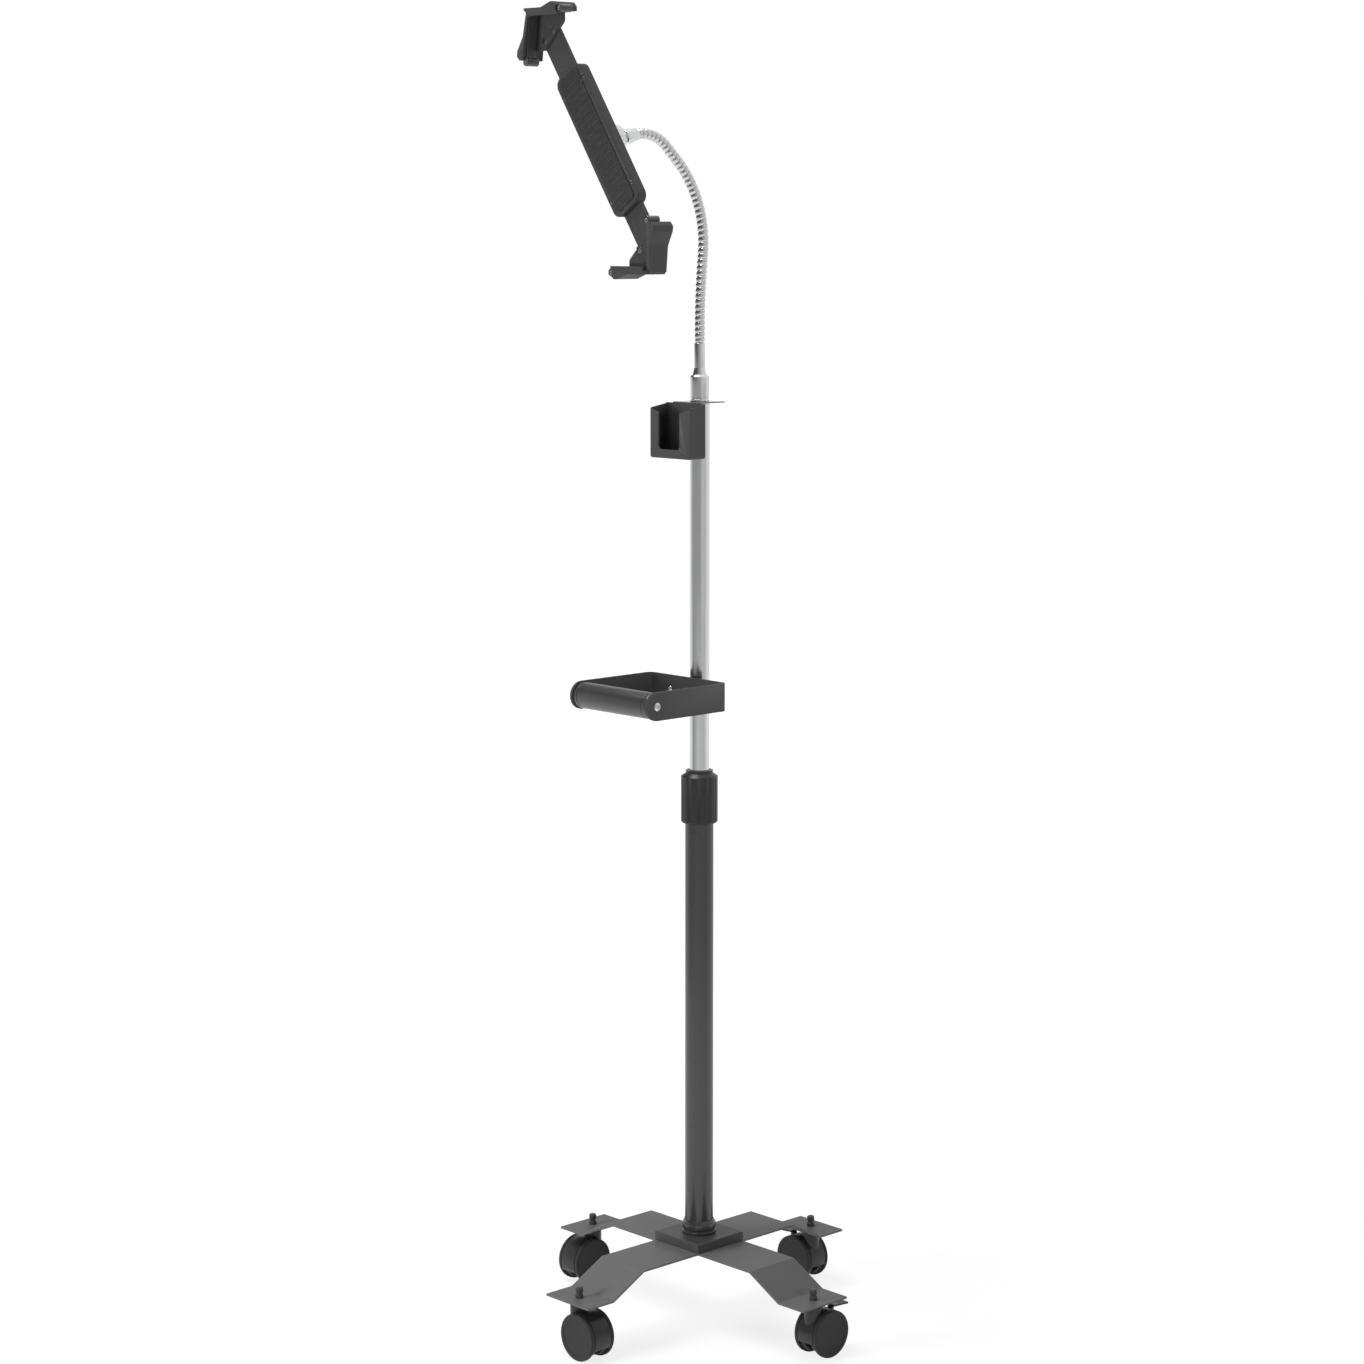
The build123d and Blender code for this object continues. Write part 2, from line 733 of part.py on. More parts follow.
def gooseneck():
    # ribbed flexible tube with plain ends inside the two ferrules
    count = round(neck_length / neck_pitch)
    pitch = neck_length / count
    grip_in = sleeve_bore_depth - seat_gap
    grip_out = upper_ferrule_length - upper_ferrule_floor - seat_gap
    places = [(-grip_in, neck_valley_radius)]
    for rib in range(count):
        places.append((rib * pitch, neck_valley_radius))
        for share in neck_crest_shares:
            places.append(((rib + share) * pitch, neck_crest_radius))
    places += [(neck_length, neck_valley_radius), (neck_length + grip_out, neck_valley_radius)]
    rings = []
    bores = []
    for distance, radius in places:
        if distance < 0:
            plane = Plane(origin=(0, 0, sleeve_top + distance), x_dir=(1, 0, 0), z_dir=(0, 0, 1))
        elif distance > neck_length:
            y, z = from_ball(ball_from_end - (distance - neck_length))
            plane = Plane(origin=(0, y, z), x_dir=(1, 0, 0), z_dir=neck_plane(neck_length).z_dir)
        else:
            plane = neck_plane(distance)
        rings.append(plane * Circle(radius))
        bores.append(plane * Circle(neck_bore_radius))
    skin = loft(rings, ruled=True)
    keep = bores[:2] + bores[4:-2:3] + bores[-2:]
    return skin - loft(keep, ruled=True)


# Ball joint

def neck_end_plane():
    # plane through the ball's centre, with its normal along the neck's end
    y, z = from_ball(0)
    droop = radians(ball_droop)
    return Plane(origin=(0, y, z), x_dir=(1, 0, 0), z_dir=(0, cos(droop), sin(droop)))


def ball_stud():
    end = upper_ferrule_start + ball_stud_thread
    stud = Sphere(ball_radius) + rod(ball_neck_radius, 0, end)
    return neck_end_plane().location * stud


def upper_ferrule():
    start = upper_ferrule_start
    end = start + upper_ferrule_length
    wide = start + upper_ferrule_wide
    step = upper_ferrule_radius - upper_ferrule_slim
    hole = ball_neck_radius + fixed_gap
    bore = neck_valley_radius + fixed_gap
    floor = start + upper_ferrule_floor
    sleeve = turned((hole, start), (upper_ferrule_slim, start), (upper_ferrule_radius, start + step),
                    (upper_ferrule_radius, wide), (upper_ferrule_slim, wide + step),
                    (upper_ferrule_slim, end), (bore, end), (bore, floor), (hole, floor))
    return neck_end_plane().location * sleeve


def ball_axis_plane():
    # plane through the ball's centre, with its normal towards the pole
    return Plane(origin=(0, -ball_reach, ball_height), x_dir=(1, 0, 0), z_dir=(0, 1, 0))


def ball_liner():
    # plastic cup round the front of the ball
    inner = ball_radius + ball_fit
    outer = inner + ball_liner_wall
    cup = Sphere(outer) - Sphere(inner)
    cup &= Pos(0, 0, -ball_liner_rim) * Cylinder(outer + overrun, outer + overrun,
                                                 align=(Align.CENTER, Align.CENTER, Align.MAX))
    return ball_axis_plane().location * cup


def lock_ring():
    # knurled ring on the boss that traps the ball
    outer = ball_radius + ball_fit + ball_liner_wall
    bore = boss_radius + fixed_gap
    throat = outer + seat_gap
    lip_end = lock_lip_start + lock_lip
    lip_inner = sqrt((ball_radius + ball_fit) ** 2 - lock_lip_start ** 2)
    mouth = max(lock_mouth_radius, sqrt((ball_radius + ball_fit) ** 2 - lip_end ** 2))
    ring = turned((bore, -lock_front), (lock_radius, -lock_front), (lock_radius, lip_end - lock_lip / 2),
                  (lock_radius - lock_lip, lip_end), (mouth, lip_end), (lip_inner + ball_fit, lock_lip_start),
                  (throat, lock_lip_start), (throat, boss_rise + seat_gap), (bore, boss_rise + seat_gap))
    for turn in range(lock_knurl_count):
        notch = Pos(lock_radius + lock_knurl_radius / 2, 0, 0) * rod(
            lock_knurl_radius, -lock_front - overrun, lip_end + overrun)
        ring -= Rot(0, 0, 360 * turn / lock_knurl_count) * notch
    return ball_axis_plane().location * ring


# Holder, in a frame whose x runs along the seat's diagonal to the upper left corner,
# whose z runs back from the seat's back plane

def diagonal_plane():
    return Plane(origin=(0, -seat_back, seat_middle), x_dir=(-tilt_share, 0, rise_share),
                 z_dir=(0, 1, 0))


def rounded_plate(half_length, half_width, radius, low, high):
    plate = extrude(Pos(0, 0, low) * RectangleRounded(2 * half_length, 2 * half_width, radius),
                    amount=high - low)
    return plate


def ball_place_in_holder():
    # the ball's centre in the diagonal frame
    local = diagonal_plane().to_local_coords(Vector(0, -ball_reach, ball_height))
    return local.X, local.Y, local.Z


def rear_housing():
    x, y, z = ball_place_in_holder()
    ends = housing_half_length
    body = rounded_plate(ends, housing_half_width, housing_round, housing_front, housing_back)
    rim = body.faces().sort_by(Axis.Z)[-1].edges()
    body = chamfer(rim, housing_edge)
    inner = ends - housing_wall
    half = channel_half_width
    body -= block(-inner, inner, -half, half, housing_front - overrun, cavity_back)
    # the upper arm leaves in the front layer and the lower arm in the back layer
    body -= block(0, ends + overrun, -half, half, housing_front - overrun, layer_middle + seat_gap)
    body -= block(-ends - overrun, 0, -half, half, layer_back - seat_gap, cavity_back)
    body += rod(gear_pin_radius, layer_front, cavity_back + overrun)
    boss = Pos(x, y, 0) * rod(boss_radius, housing_back - overrun, z + boss_rise)
    cup = ball_radius + ball_fit + ball_liner_wall + ball_fit
    hollow = Pos(x, y, z) * (Sphere(cup) + rod(cup, 0, boss_rise + overrun))
    body = body + boss - hollow
    body -= Pos(-knob_place, 0, 0) * rod(knob_screw_radius + fixed_gap, cavity_back - overrun,
                                         housing_back + overrun)
    for side_x in (-1, 1):
        for side_y in (-1, 1):
            body -= Pos(side_x * cover_screw_reach, side_y * cover_screw_offset, 0) * rod(
                cover_screw_radius + fixed_gap, housing_front - overrun,
                cover_front + cover_screw_length + seat_gap)
    return diagonal_plane().location * body


def front_cover():
    plate = rounded_plate(housing_half_length, housing_half_width, housing_round, cover_front,
                          housing_front)
    for side_x in (-1, 1):
        for side_y in (-1, 1):
            place = Pos(side_x * cover_screw_reach, side_y * cover_screw_offset, 0)
            plate -= place * rod(cover_screw_radius + fixed_gap, cover_front - overrun,
                                 housing_front + overrun)
            plate -= place * rod(cover_screw_head + fixed_gap, cover_front - overrun,
                                 cover_front + cover_screw_head_height)
    return diagonal_plane().location * plate


def cover_pad():
    pad = rounded_plate(housing_half_length - cover_pad_margin, housing_half_width - cover_pad_margin,
                        housing_round - cover_pad_margin, 0, cover_front)
    return diagonal_plane().location * pad


def cover_screws():
    screws = []
    for side_x in (-1, 1):
        for side_y in (-1, 1):
            screw = rod(cover_screw_head, cover_front, cover_front + cover_screw_head_height)
            screw += rod(cover_screw_radius, cover_front, cover_front + cover_screw_length)
            place = Pos(side_x * cover_screw_reach, side_y * cover_screw_offset, 0)
            screws.append(diagonal_plane().location * place * screw)
    return screws


def involute_point(base, radius, start):
    # point of an involute of a base circle, at a radius, with its root at an angle
    unroll = sqrt(max((radius / base) ** 2 - 1, 0))
    angle = start + unroll - atan2(unroll, 1)
    return radius * cos(angle), radius * sin(angle)


def pinion():
    # sixteen involute teeth, one of them straight up the +Y axis
    pressure = radians(gear_pressure)
    base = gear_pitch_radius * cos(pressure)
    involute = tan(pressure) - pressure
    half_tooth = (pi * gear_module / 2 - gear_backlash) / 2 / gear_pitch_radius
    flank_shares = (0, 0.4, 0.75, 1)
    points = []
    for tooth in range(gear_teeth):
        middle = pi / 2 + 2 * pi * tooth / gear_teeth
        right = []
        for share in flank_shares:
            radius = base + share * (gear_tip_radius - base)
            right.append(involute_point(base, radius, -half_tooth - involute))
        foot = -half_tooth - involute
        right = [(gear_root_radius * cos(foot), gear_root_radius * sin(foot))] + right
        left = [(x, -y) for x, y in reversed(right)]
        for x, y in right + left:
            points.append((x * cos(middle) - y * sin(middle), x * sin(middle) + y * cos(middle)))
    gear = prism(Plane.XY.offset(layer_front), points, layer_end - layer_front)
    gear -= rod(gear_pin_radius + slip, layer_front - overrun, layer_end + overrun)
    return diagonal_plane().location * gear


def rack_outline():
    # slot in an arm: teeth on the upper side, a plain edge that clears the pinion below
    pitch = pi * gear_module
    slope = tan(radians(gear_pressure))
    half_tooth = (pitch / 2 - gear_backlash) / 2
    tip = gear_pitch_radius - gear_addendum
    root = gear_pitch_radius + gear_dedendum
    plain = -gear_tip_radius - slot_clear
    left = -arm_out_travel - gear_tip_radius - slot_clear
    right = arm_in_travel + gear_tip_radius + slot_clear
    first = int((left + pitch) / pitch)
    last = int((right - pitch) / pitch)
    points = [(left, plain), (left, root)]
    for tooth in range(first, last):
        middle = (tooth + 1 / 2) * pitch
        points += [(middle - half_tooth - gear_dedendum * slope, root),
                   (middle - half_tooth + gear_addendum * slope, tip),
                   (middle + half_tooth - gear_addendum * slope, tip),
                   (middle + half_tooth + gear_dedendum * slope, root)]
    return points + [(right, root), (right, plain)]


def sliding_arm(low, high, block_low, block_high):
    # flat bar with the rack slot, pointing to +X, with a block for the claw at its end
    inset = arm_end - arm_end_chamfer
    outline = [(-arm_inner, -arm_half_width), (inset, -arm_half_width),
               (arm_end, -arm_half_width + arm_end_chamfer), (arm_end, arm_half_width - arm_end_chamfer),
               (inset, arm_half_width), (-arm_inner, arm_half_width)]
    bar = prism(Plane.XY.offset(low), outline, high - low)
    end = [(max(x, arm_block_start), y) for x, y in outline]
    bar += prism(Plane.XY.offset(block_low), end, block_high - block_low)
    bar -= prism(Plane.XY.offset(low - overrun), rack_outline(), high - low + 2 * overrun)
    for side in (-1, 1):
        bar -= Pos(arm_end - claw_screw_from_end, side * claw_screw_offset, 0) * rod(
            claw_screw_radius + fixed_gap, min(low, block_low) - overrun, high + overrun)
    return bar


def arm_upper():
    bar = sliding_arm(layer_front, layer_middle, claw_floor, layer_middle)
    return diagonal_plane().location * bar


def arm_lower():
    bar = sliding_arm(layer_back, layer_end, claw_floor, layer_end)
    return diagonal_plane().location * Rot(0, 0, 180) * bar


def lock_knob():
    # lobed thumb knob whose screw presses on the lower arm
    low = housing_back + knob_gap
    high = low + knob_height
    knob = rod(knob_radius, low, high)
    for turn in range(knob_lobe_count):
        scallop = Pos(knob_radius + knob_lobe_radius / 2, 0, 0) * rod(knob_lobe_radius, low - overrun,
                                                                      high + overrun)
        knob -= Rot(0, 0, 360 * turn / knob_lobe_count) * scallop
    knob += rod(knob_screw_radius, layer_end + seat_gap, low)
    return diagonal_plane().location * Pos(-knob_place, 0, 0) * knob


# Corner claws, built for the upper left corner and turned round for the lower right one.
# Their frame has its origin in the seat's corner, x down the upright arm and y outward to the left.

def corner_plane():
    corner = (-seat_half_width, -seat_back, seat_middle + seat_half_height)
    return Plane(origin=corner, x_dir=(0, 0, -1), z_dir=(0, 1, 0))


def upright(along, outward):
    # point of the upright arm, which leans away from a tablet's side
    return (along, outward + claw_lean * max(along, 0))


def level(along, outward):
    # point of the level arm, which mirrors the upright one without its lean
    return (-outward, -along)


def rounded_prism(low, high, corners):
    # outline of points with a corner radius each, pulled up between two heights
    outline = make_face(Polyline(*[point for point, _ in corners], close=True))
    for point, radius in corners:
        if radius:
            outline = fillet(outline.vertices().sort_by_distance((*point, 0))[0], radius)
    return extrude(Pos(0, 0, low) * outline, amount=high - low)


def claw_arm(place, front):
    swell = (claw_wall_end + claw_hump_start) / 2
    corners = [((-claw_corner, claw_corner), 0), ((claw_wall_end, claw_wall), claw_round),
               ((swell, (claw_wall + claw_hump) / 2), claw_round), ((claw_hump_start, claw_hump), claw_round),
               ((claw_hump_end, claw_hump), claw_round), ((claw_tip, claw_tip_outer), claw_edge_round),
               ((claw_tip, claw_inner), 0), ((-claw_inner, claw_inner), 0)]
    return rounded_prism(-front, claw_rear, [(place(*point), radius) for point, radius in corners])


def claw_shell():
    side = claw_arm(upright, claw_tip_front)
    slope = [(-claw_corner - overrun, -claw_tip_front - overrun), (claw_tip, -claw_tip_front - overrun),
             (claw_tip, -claw_tip_front), (claw_hump_start, -claw_tip_front),
             (0, -claw_corner_front), (-claw_corner - overrun, -claw_corner_front)]
    cut = prism(Plane.XZ, slope, claw_hump * 2)
    side -= cut
    lip_back = seat_depth + claw_hook_gap
    lip = [level(0, -claw_hook), level(claw_tip, -claw_hook), level(claw_tip, claw_inner),
           level(0, claw_inner)]
    hook = prism(Plane.XY.offset(-claw_level_front), lip, claw_level_front - lip_back)
    floor = [(-claw_inner, claw_inner), upright(claw_floor_long, claw_inner),
             (claw_floor_long, -claw_floor_end), (claw_floor_end, -claw_floor_long),
             level(claw_floor_long, claw_inner)]
    plate = prism(Plane.XY, floor, claw_floor)
    shell = side + claw_arm(level, claw_level_front) + hook + plate
    for roll in roll_places():
        shell -= roll * rod(roll_radius + fixed_gap, -claw_level_front - overrun, roll_rear + fixed_gap)
    shell = corner_plane().location * shell
    for place in claw_screw_places():
        shell -= place * rod(claw_screw_radius + fixed_gap, -overrun, claw_floor + overrun)
        shell -= place * rod(claw_screw_head + fixed_gap, -overrun, claw_screw_head_height)
    return shell


def claw_screw_places():
    return [diagonal_plane().location * Pos(arm_end - claw_screw_from_end, side * claw_screw_offset, 0)
            for side in (-1, 1)]


def roll_places():
    return [Pos(roll_place, roll_radius, 0), Pos(*level(roll_place, roll_radius), 0)]


def claw_liner():
    # rubber strips on both walls, each with a roll at its end that a tablet's edge rests on
    liner = []
    thickness = claw_inner - fixed_gap
    for place, roll in zip((upright, level), roll_places()):
        strip = [place(-thickness, 0), place(roll_place, 0), place(roll_place, thickness),
                 place(-thickness, thickness)]
        leaf = prism(Plane.XY.offset(-claw_corner_front), strip, claw_corner_front)
        liner.append(leaf + roll * rod(roll_radius, -seat_depth, roll_rear))
    return corner_plane().location * (liner[0] + liner[1])


def claw_screws():
    screw = rod(claw_screw_head, 0, claw_screw_head_height) + rod(claw_screw_radius, 0, layer_middle)
    return [place * screw for place in claw_screw_places()]


def turned_round(shape):
    # the lower right copy of a piece of the upper left claw
    middle = Pos(0, 0, seat_middle)
    return middle * Rot(0, 180, 0) * Pos(0, 0, -seat_middle) * shape


# Casters

def stem():
    tip = stem_stud_top - stem_tip_height
    waist = tip - stem_waist_height
    return turned((0, stem_pin_bottom), (stem_pin_radius, stem_pin_bottom),
                  (stem_pin_radius, stem_shoulder), (stem_shank_radius, stem_shoulder),
                  (stem_shank_radius, foot_top), (stem_stud_radius, foot_top),
                  (stem_stud_radius, waist), (stem_waist_radius, waist), (stem_waist_radius, tip),
                  (stem_stud_radius, tip), (stem_stud_radius, stem_stud_top - stem_chamfer),
                  (stem_stud_radius - stem_chamfer, stem_stud_top),
                  (0, stem_stud_top)) + hexagon(stem_flange_radius, stem_shoulder, foot_bottom)


def sector(radius, first, last):
    # wedge about the axle's axis, between two angles from the trailing side
    points = [(trail, wheel_radius)]
    steps = 6
    for step in range(steps + 1):
        angle = radians(first + (last - first) * step / steps)
        points.append((trail + radius * cos(angle), wheel_radius + radius * sin(angle)))
    return prism(facing_front(hood_half_width + overrun), points, 2 * (hood_half_width + overrun))


def caster_hood(braked):
    half = hood_half_width
    drum = rod_back(hood_outer, trail, wheel_radius, -half, half)
    hood = drum & sector(2 * hood_outer, hood_rear_angle, hood_front_angle)
    hood += rod_back(hood_web_radius, trail, wheel_radius, -hood_web, hood_web)
    hood += rod(hood_neck_radius, wheel_radius, hood_top)
    for side in (-1, 1):
        low, high = sorted((side * hood_web, side * (half + overrun)))
        hood -= rod_back(hood_inner, trail, wheel_radius, low, high)
    hood -= rod(stem_pin_radius + slip, stem_pin_bottom - seat_gap, hood_top + overrun)
    hood -= rod_back(axle_radius + axle_fit, trail, wheel_radius, -hood_web - overrun,
                     hood_web + overrun)
    if braked:
        hood -= block(pedal_root - pedal_slot_gap, pedal_root + pedal_leg_depth + pedal_slot_gap,
                      -pedal_leg_half - pedal_side_gap, pedal_leg_half + pedal_side_gap,
                      pedal_leg_foot - pedal_slot_gap, wheel_radius + hood_outer)
        hood -= rod_back(pedal_pin_radius + slip, pedal_pin_place, pedal_pin_height,
                         -hood_web - overrun, hood_web + overrun)
    return hood


def caster_axle():
    reach = wheel_outer - wheel_face_sheet - axle_end_gap
    return rod_back(axle_radius, trail, wheel_radius, -reach, reach)


def caster_wheel(side):
    bore = axle_radius + slip
    inner = wheel_drum_radius - wheel_rim
    web = wheel_outer - wheel_face_sheet
    dish = wheel_outer - wheel_dish
    wheel = turned((bore, wheel_inner), (wheel_hub_radius, wheel_inner), (wheel_hub_radius, web),
                   (inner, web), (inner, wheel_inner), (wheel_drum_radius, wheel_inner),
                   (wheel_drum_radius, wheel_flange), (wheel_radius - wheel_edge / 2, wheel_flange),
                   (wheel_radius, wheel_flange + wheel_edge / 2), (wheel_radius, wheel_outer - wheel_edge),
                   (wheel_radius - wheel_edge, wheel_outer), (wheel_dish_radius, wheel_outer),
                   (wheel_dish_radius - wheel_dish, dish), (0, dish), (0, web), (bore, web))
    return Pos(trail, 0, wheel_radius) * Rot(90 * -side, 0, 0) * wheel


def brake_pedal():
    # tread plate with a leg that goes down through the hood
    half = pedal_half_width
    tread = [(pedal_root, pedal_root_top), (pedal_root, pedal_root_top - pedal_sheet),
             (pedal_reach, pedal_outer_top - pedal_sheet), (pedal_reach, pedal_outer_top)]
    plate = prism(facing_front(half), tread, 2 * half)
    leg = block(pedal_root, pedal_root + pedal_leg_depth, -pedal_leg_half, pedal_leg_half,
                pedal_leg_foot, pedal_root_top - pedal_sheet / 2)
    return plate + leg + rod_back(pedal_pin_radius, pedal_pin_place, pedal_pin_height, -hood_web, hood_web)


def save_caster(name, turn, braked):
    place = Rot(0, 0, 90 * turn) * Pos(0, -caster_reach, 0)
    save(f"caster_stem_{name}", place * stem())
    save(f"caster_hood_{name}", place * caster_hood(braked))
    save(f"caster_axle_{name}", place * caster_axle())
    save(f"wheel_a_{name}", place * caster_wheel(1))
    save(f"wheel_b_{name}", place * caster_wheel(-1))
    if braked:
        save(f"brake_pedal_{name}", place * brake_pedal())


save("base_cross", base_cross())
save("hub_cap", hub_cap())
save("pole_socket", pole_socket())
save("lower_pole", lower_pole())
save("pole_foot_plug", pole_foot_plug())
save("foot_bolt", foot_bolt())
save("clutch_collet", clutch_collet())
save("clutch_collar", clutch_collar())
for place_number, (leg_name, has_brake) in enumerate([("front", False), ("right", True), ("back", True),
                                                      ("left", False)]):
    save_caster(leg_name, place_number, has_brake)

save("guide_plug", guide_plug())
save("upper_pole", upper_pole())
save("handle_frame", handle_frame())
save("handle_grip", handle_grip())
save("grip_screws", *grip_screws())
save("handle_strap", handle_strap())
save("handle_saddle", handle_saddle())
save("strap_bolts", *strap_bolts())
save("pole_pocket", pole_pocket())
save("pole_insert", pole_insert())
save("lower_ferrule", lower_ferrule())
save("gooseneck", gooseneck())

save("ball_stud", ball_stud())
save("upper_ferrule", upper_ferrule())
save("ball_liner", ball_liner())
save("lock_ring", lock_ring())
save("rear_housing", rear_housing())
save("front_cover", front_cover())
save("cover_pad", cover_pad())
save("cover_screws", *cover_screws())
save("centring_pinion", pinion())
save("lock_knob", lock_knob())
save("arm_upper", arm_upper())
save("arm_lower", arm_lower())
save("claw_upper", claw_shell())
save("claw_lower", turned_round(claw_shell()))
save("claw_liner_upper", claw_liner())
save("claw_liner_lower", turned_round(claw_liner()))
save("claw_screws_upper", *claw_screws())
save("claw_screws_lower", *[turned_round(screw) for screw in claw_screws()])
print("neck length", round(neck_length, 1), "seat diagonal", round(2 * seat_diagonal, 1))
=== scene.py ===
import json
import math

import bmesh
import bpy
from mathutils import Matrix, Vector

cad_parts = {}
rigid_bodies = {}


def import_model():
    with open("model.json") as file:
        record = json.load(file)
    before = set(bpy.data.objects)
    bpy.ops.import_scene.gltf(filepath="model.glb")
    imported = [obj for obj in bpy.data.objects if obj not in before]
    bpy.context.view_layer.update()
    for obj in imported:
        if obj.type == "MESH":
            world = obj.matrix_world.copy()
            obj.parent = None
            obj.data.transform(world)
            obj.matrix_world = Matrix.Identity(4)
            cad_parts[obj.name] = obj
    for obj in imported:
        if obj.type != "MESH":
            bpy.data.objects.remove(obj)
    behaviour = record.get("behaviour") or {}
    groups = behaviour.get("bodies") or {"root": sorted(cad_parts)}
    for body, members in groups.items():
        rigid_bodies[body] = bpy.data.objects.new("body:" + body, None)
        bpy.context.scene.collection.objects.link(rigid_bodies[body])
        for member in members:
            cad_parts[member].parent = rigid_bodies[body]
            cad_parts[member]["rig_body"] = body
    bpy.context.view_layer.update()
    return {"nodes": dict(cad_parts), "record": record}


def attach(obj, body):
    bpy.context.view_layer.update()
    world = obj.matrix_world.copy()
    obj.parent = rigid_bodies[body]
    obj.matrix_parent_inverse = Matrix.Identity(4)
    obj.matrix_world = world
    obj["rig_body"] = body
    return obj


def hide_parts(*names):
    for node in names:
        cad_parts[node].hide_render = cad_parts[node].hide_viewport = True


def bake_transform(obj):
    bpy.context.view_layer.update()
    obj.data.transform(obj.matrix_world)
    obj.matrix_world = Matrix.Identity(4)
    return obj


print("loading the frame")
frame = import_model()
mm = 0.001
plain = (1.0, 1.0, 1.0)


class Settings(dict):
    # one piece's settings, read as attributes
    __getattr__ = dict.__getitem__


# Shader helpers

class Signal:
    # a number socket that takes plain arithmetic
    def __init__(self, recipe, socket):
        self.recipe = recipe
        self.socket = socket

    def math(self, operation, first, second):
        return self.recipe.node("ShaderNodeMath", {"operation": operation}, {0: first, 1: second})

    def __add__(self, other):
        return self.math("ADD", self, other)

    def __mul__(self, other):
        return self.math("MULTIPLY", self, other)

    __radd__ = __add__
    __rmul__ = __mul__

    def sibling(self, name):
        return Signal(self.recipe, self.socket.node.outputs[name])


class Recipe:
    # the node tree of one material or world
    def __init__(self, owner):
        self.owner = owner
        owner.use_nodes = True
        self.tree = owner.node_tree
        self.tree.nodes.clear()

    def node(self, kind, settings=None, sockets=None, output=0):
        made = self.tree.nodes.new(kind)
        for key, value in (settings or {}).items():
            if key == "stops":
                ramp = made.color_ramp.elements
                while len(ramp) < len(value):
                    ramp.new(0.5)
                for stop, (place, shade) in zip(ramp, value):
                    stop.position = place
                    stop.color = (shade, shade, shade, 1)
            else:
                setattr(made, key, value)
        for key, value in (sockets or {}).items():
            if isinstance(value, Signal):
                self.tree.links.new(value.socket, made.inputs[key])
            else:
                made.inputs[key].default_value = value
        return Signal(self, made.outputs[output]) if made.outputs else None

    def noise(self, scale, detail=3.0, roughness=0.5, stretch=None):
        place = self.node("ShaderNodeTexCoord", output="Object")
        if stretch:
            place = self.node("ShaderNodeMapping", sockets={"Vector": place, "Scale": stretch})
        return self.node("ShaderNodeTexNoise", sockets={
            "Vector": place, "Scale": scale, "Detail": detail, "Roughness": roughness})

    def ramp(self, value, stops):
        return self.node("ShaderNodeValToRGB", {"stops": stops}, {0: value})

    def mapped(self, value, low, high, toLow=0.0, toHigh=1.0):
        return self.node("ShaderNodeMapRange", sockets={
            "Value": value, "From Min": low, "From Max": high, "To Min": toLow, "To Max": toHigh})

    def blend(self, factor, first, second):
        return self.node("ShaderNodeMix", {"data_type": "RGBA"}, {0: factor, 6: first, 7: second}, 2)

    def shades(self, factor, look, low, high):
        # the look's colour between two multiples of its shade
        return self.blend(factor, colourOf(look, low), colourOf(look, high))

    def mixed(self, factor, first, second):
        return self.node("ShaderNodeMixShader", sockets={0: factor, 1: first, 2: second})

    def glowing(self, kind, colour, strength):
        return self.node(kind, sockets={"Color": colour, "Strength": strength})

    def close(self, surface, kind="ShaderNodeOutputMaterial"):
        self.node(kind, sockets={"Surface": surface})
        return self.owner

    def principled(self, relief, strength, depth, sockets):
        normal = self.node("ShaderNodeBump", sockets={
            "Strength": strength, "Distance": depth, "Height": relief})
        return self.close(self.node("ShaderNodeBsdfPrincipled", sockets={**sockets, "Normal": normal}))


def grey(value, tint=plain):
    return (value * tint[0], value * tint[1], value * tint[2], 1.0)


def colourOf(look, factor):
    return grey(look.shade * factor, look.get("tint", plain))


def coatedFinish(look):
    # paint or moulded plastic: fine grain, patchy gloss and slightly rubbed edges
    recipe = Recipe(bpy.data.materials.new(look.name))
    grain = recipe.noise(look.grain, 2.0, 0.6)
    patches = recipe.noise(look.patch, 3.0)
    colour = recipe.shades(patches, look, 0.9, 1.1)
    edge = recipe.node("ShaderNodeNewGeometry", output="Pointiness")
    rubbed = recipe.ramp(edge, [(0.53, 0.0), (0.62, look.rub)])
    return recipe.principled(grain, look.bump, 0.0003, {
        "Base Color": recipe.blend(rubbed, colour, colourOf(look, 2.6)),
        "Roughness": patches * 0.12 + grain * 0.06 + (look.roughness - 0.09),
        "Specular IOR Level": look.gloss})


def metalFinish(look):
    # plated or bare metal: drawn lines along the piece, faint smudges, and painted shade in the hollows where
    # valley is below 1
    recipe = Recipe(bpy.data.materials.new(look.name))
    lines = recipe.noise(look.grain, 2.0, 0.6, look.stretch)
    smudge = recipe.noise(38.0, 4.0, 0.6)
    colour = recipe.shades(smudge, look, 0.94, 1.04)
    if look.valley < 1:  # painted shade between the turns: the hollows are coloured darker
        edge = recipe.node("ShaderNodeNewGeometry", output="Pointiness")
        raised = recipe.ramp(edge, [(0.42, 0.0), (0.5, 1.0)])
        colour = recipe.blend(raised, colourOf(look, look.valley), colour)
    return recipe.principled(lines, look.bump, 0.0001, {
        "Base Color": colour, "Metallic": 1.0,
        "Roughness": smudge * 0.08 + lines * 0.05 + (look.roughness - 0.06)})


def rubberFinish(look):
    # rubber: even and dull with a fine open grain
    recipe = Recipe(bpy.data.materials.new(look.name))
    grain = recipe.noise(look.grain, 4.0, 0.7)
    pits = recipe.ramp(grain, [(0.32, 0.0), (0.5, 1.0)])
    return recipe.principled(pits, look.bump, 0.0003, {
        "Base Color": recipe.shades(pits, look, 0.75, 1.05),
        "Roughness": grain * 0.15 + (look.roughness - 0.08), "Specular IOR Level": look.gloss})


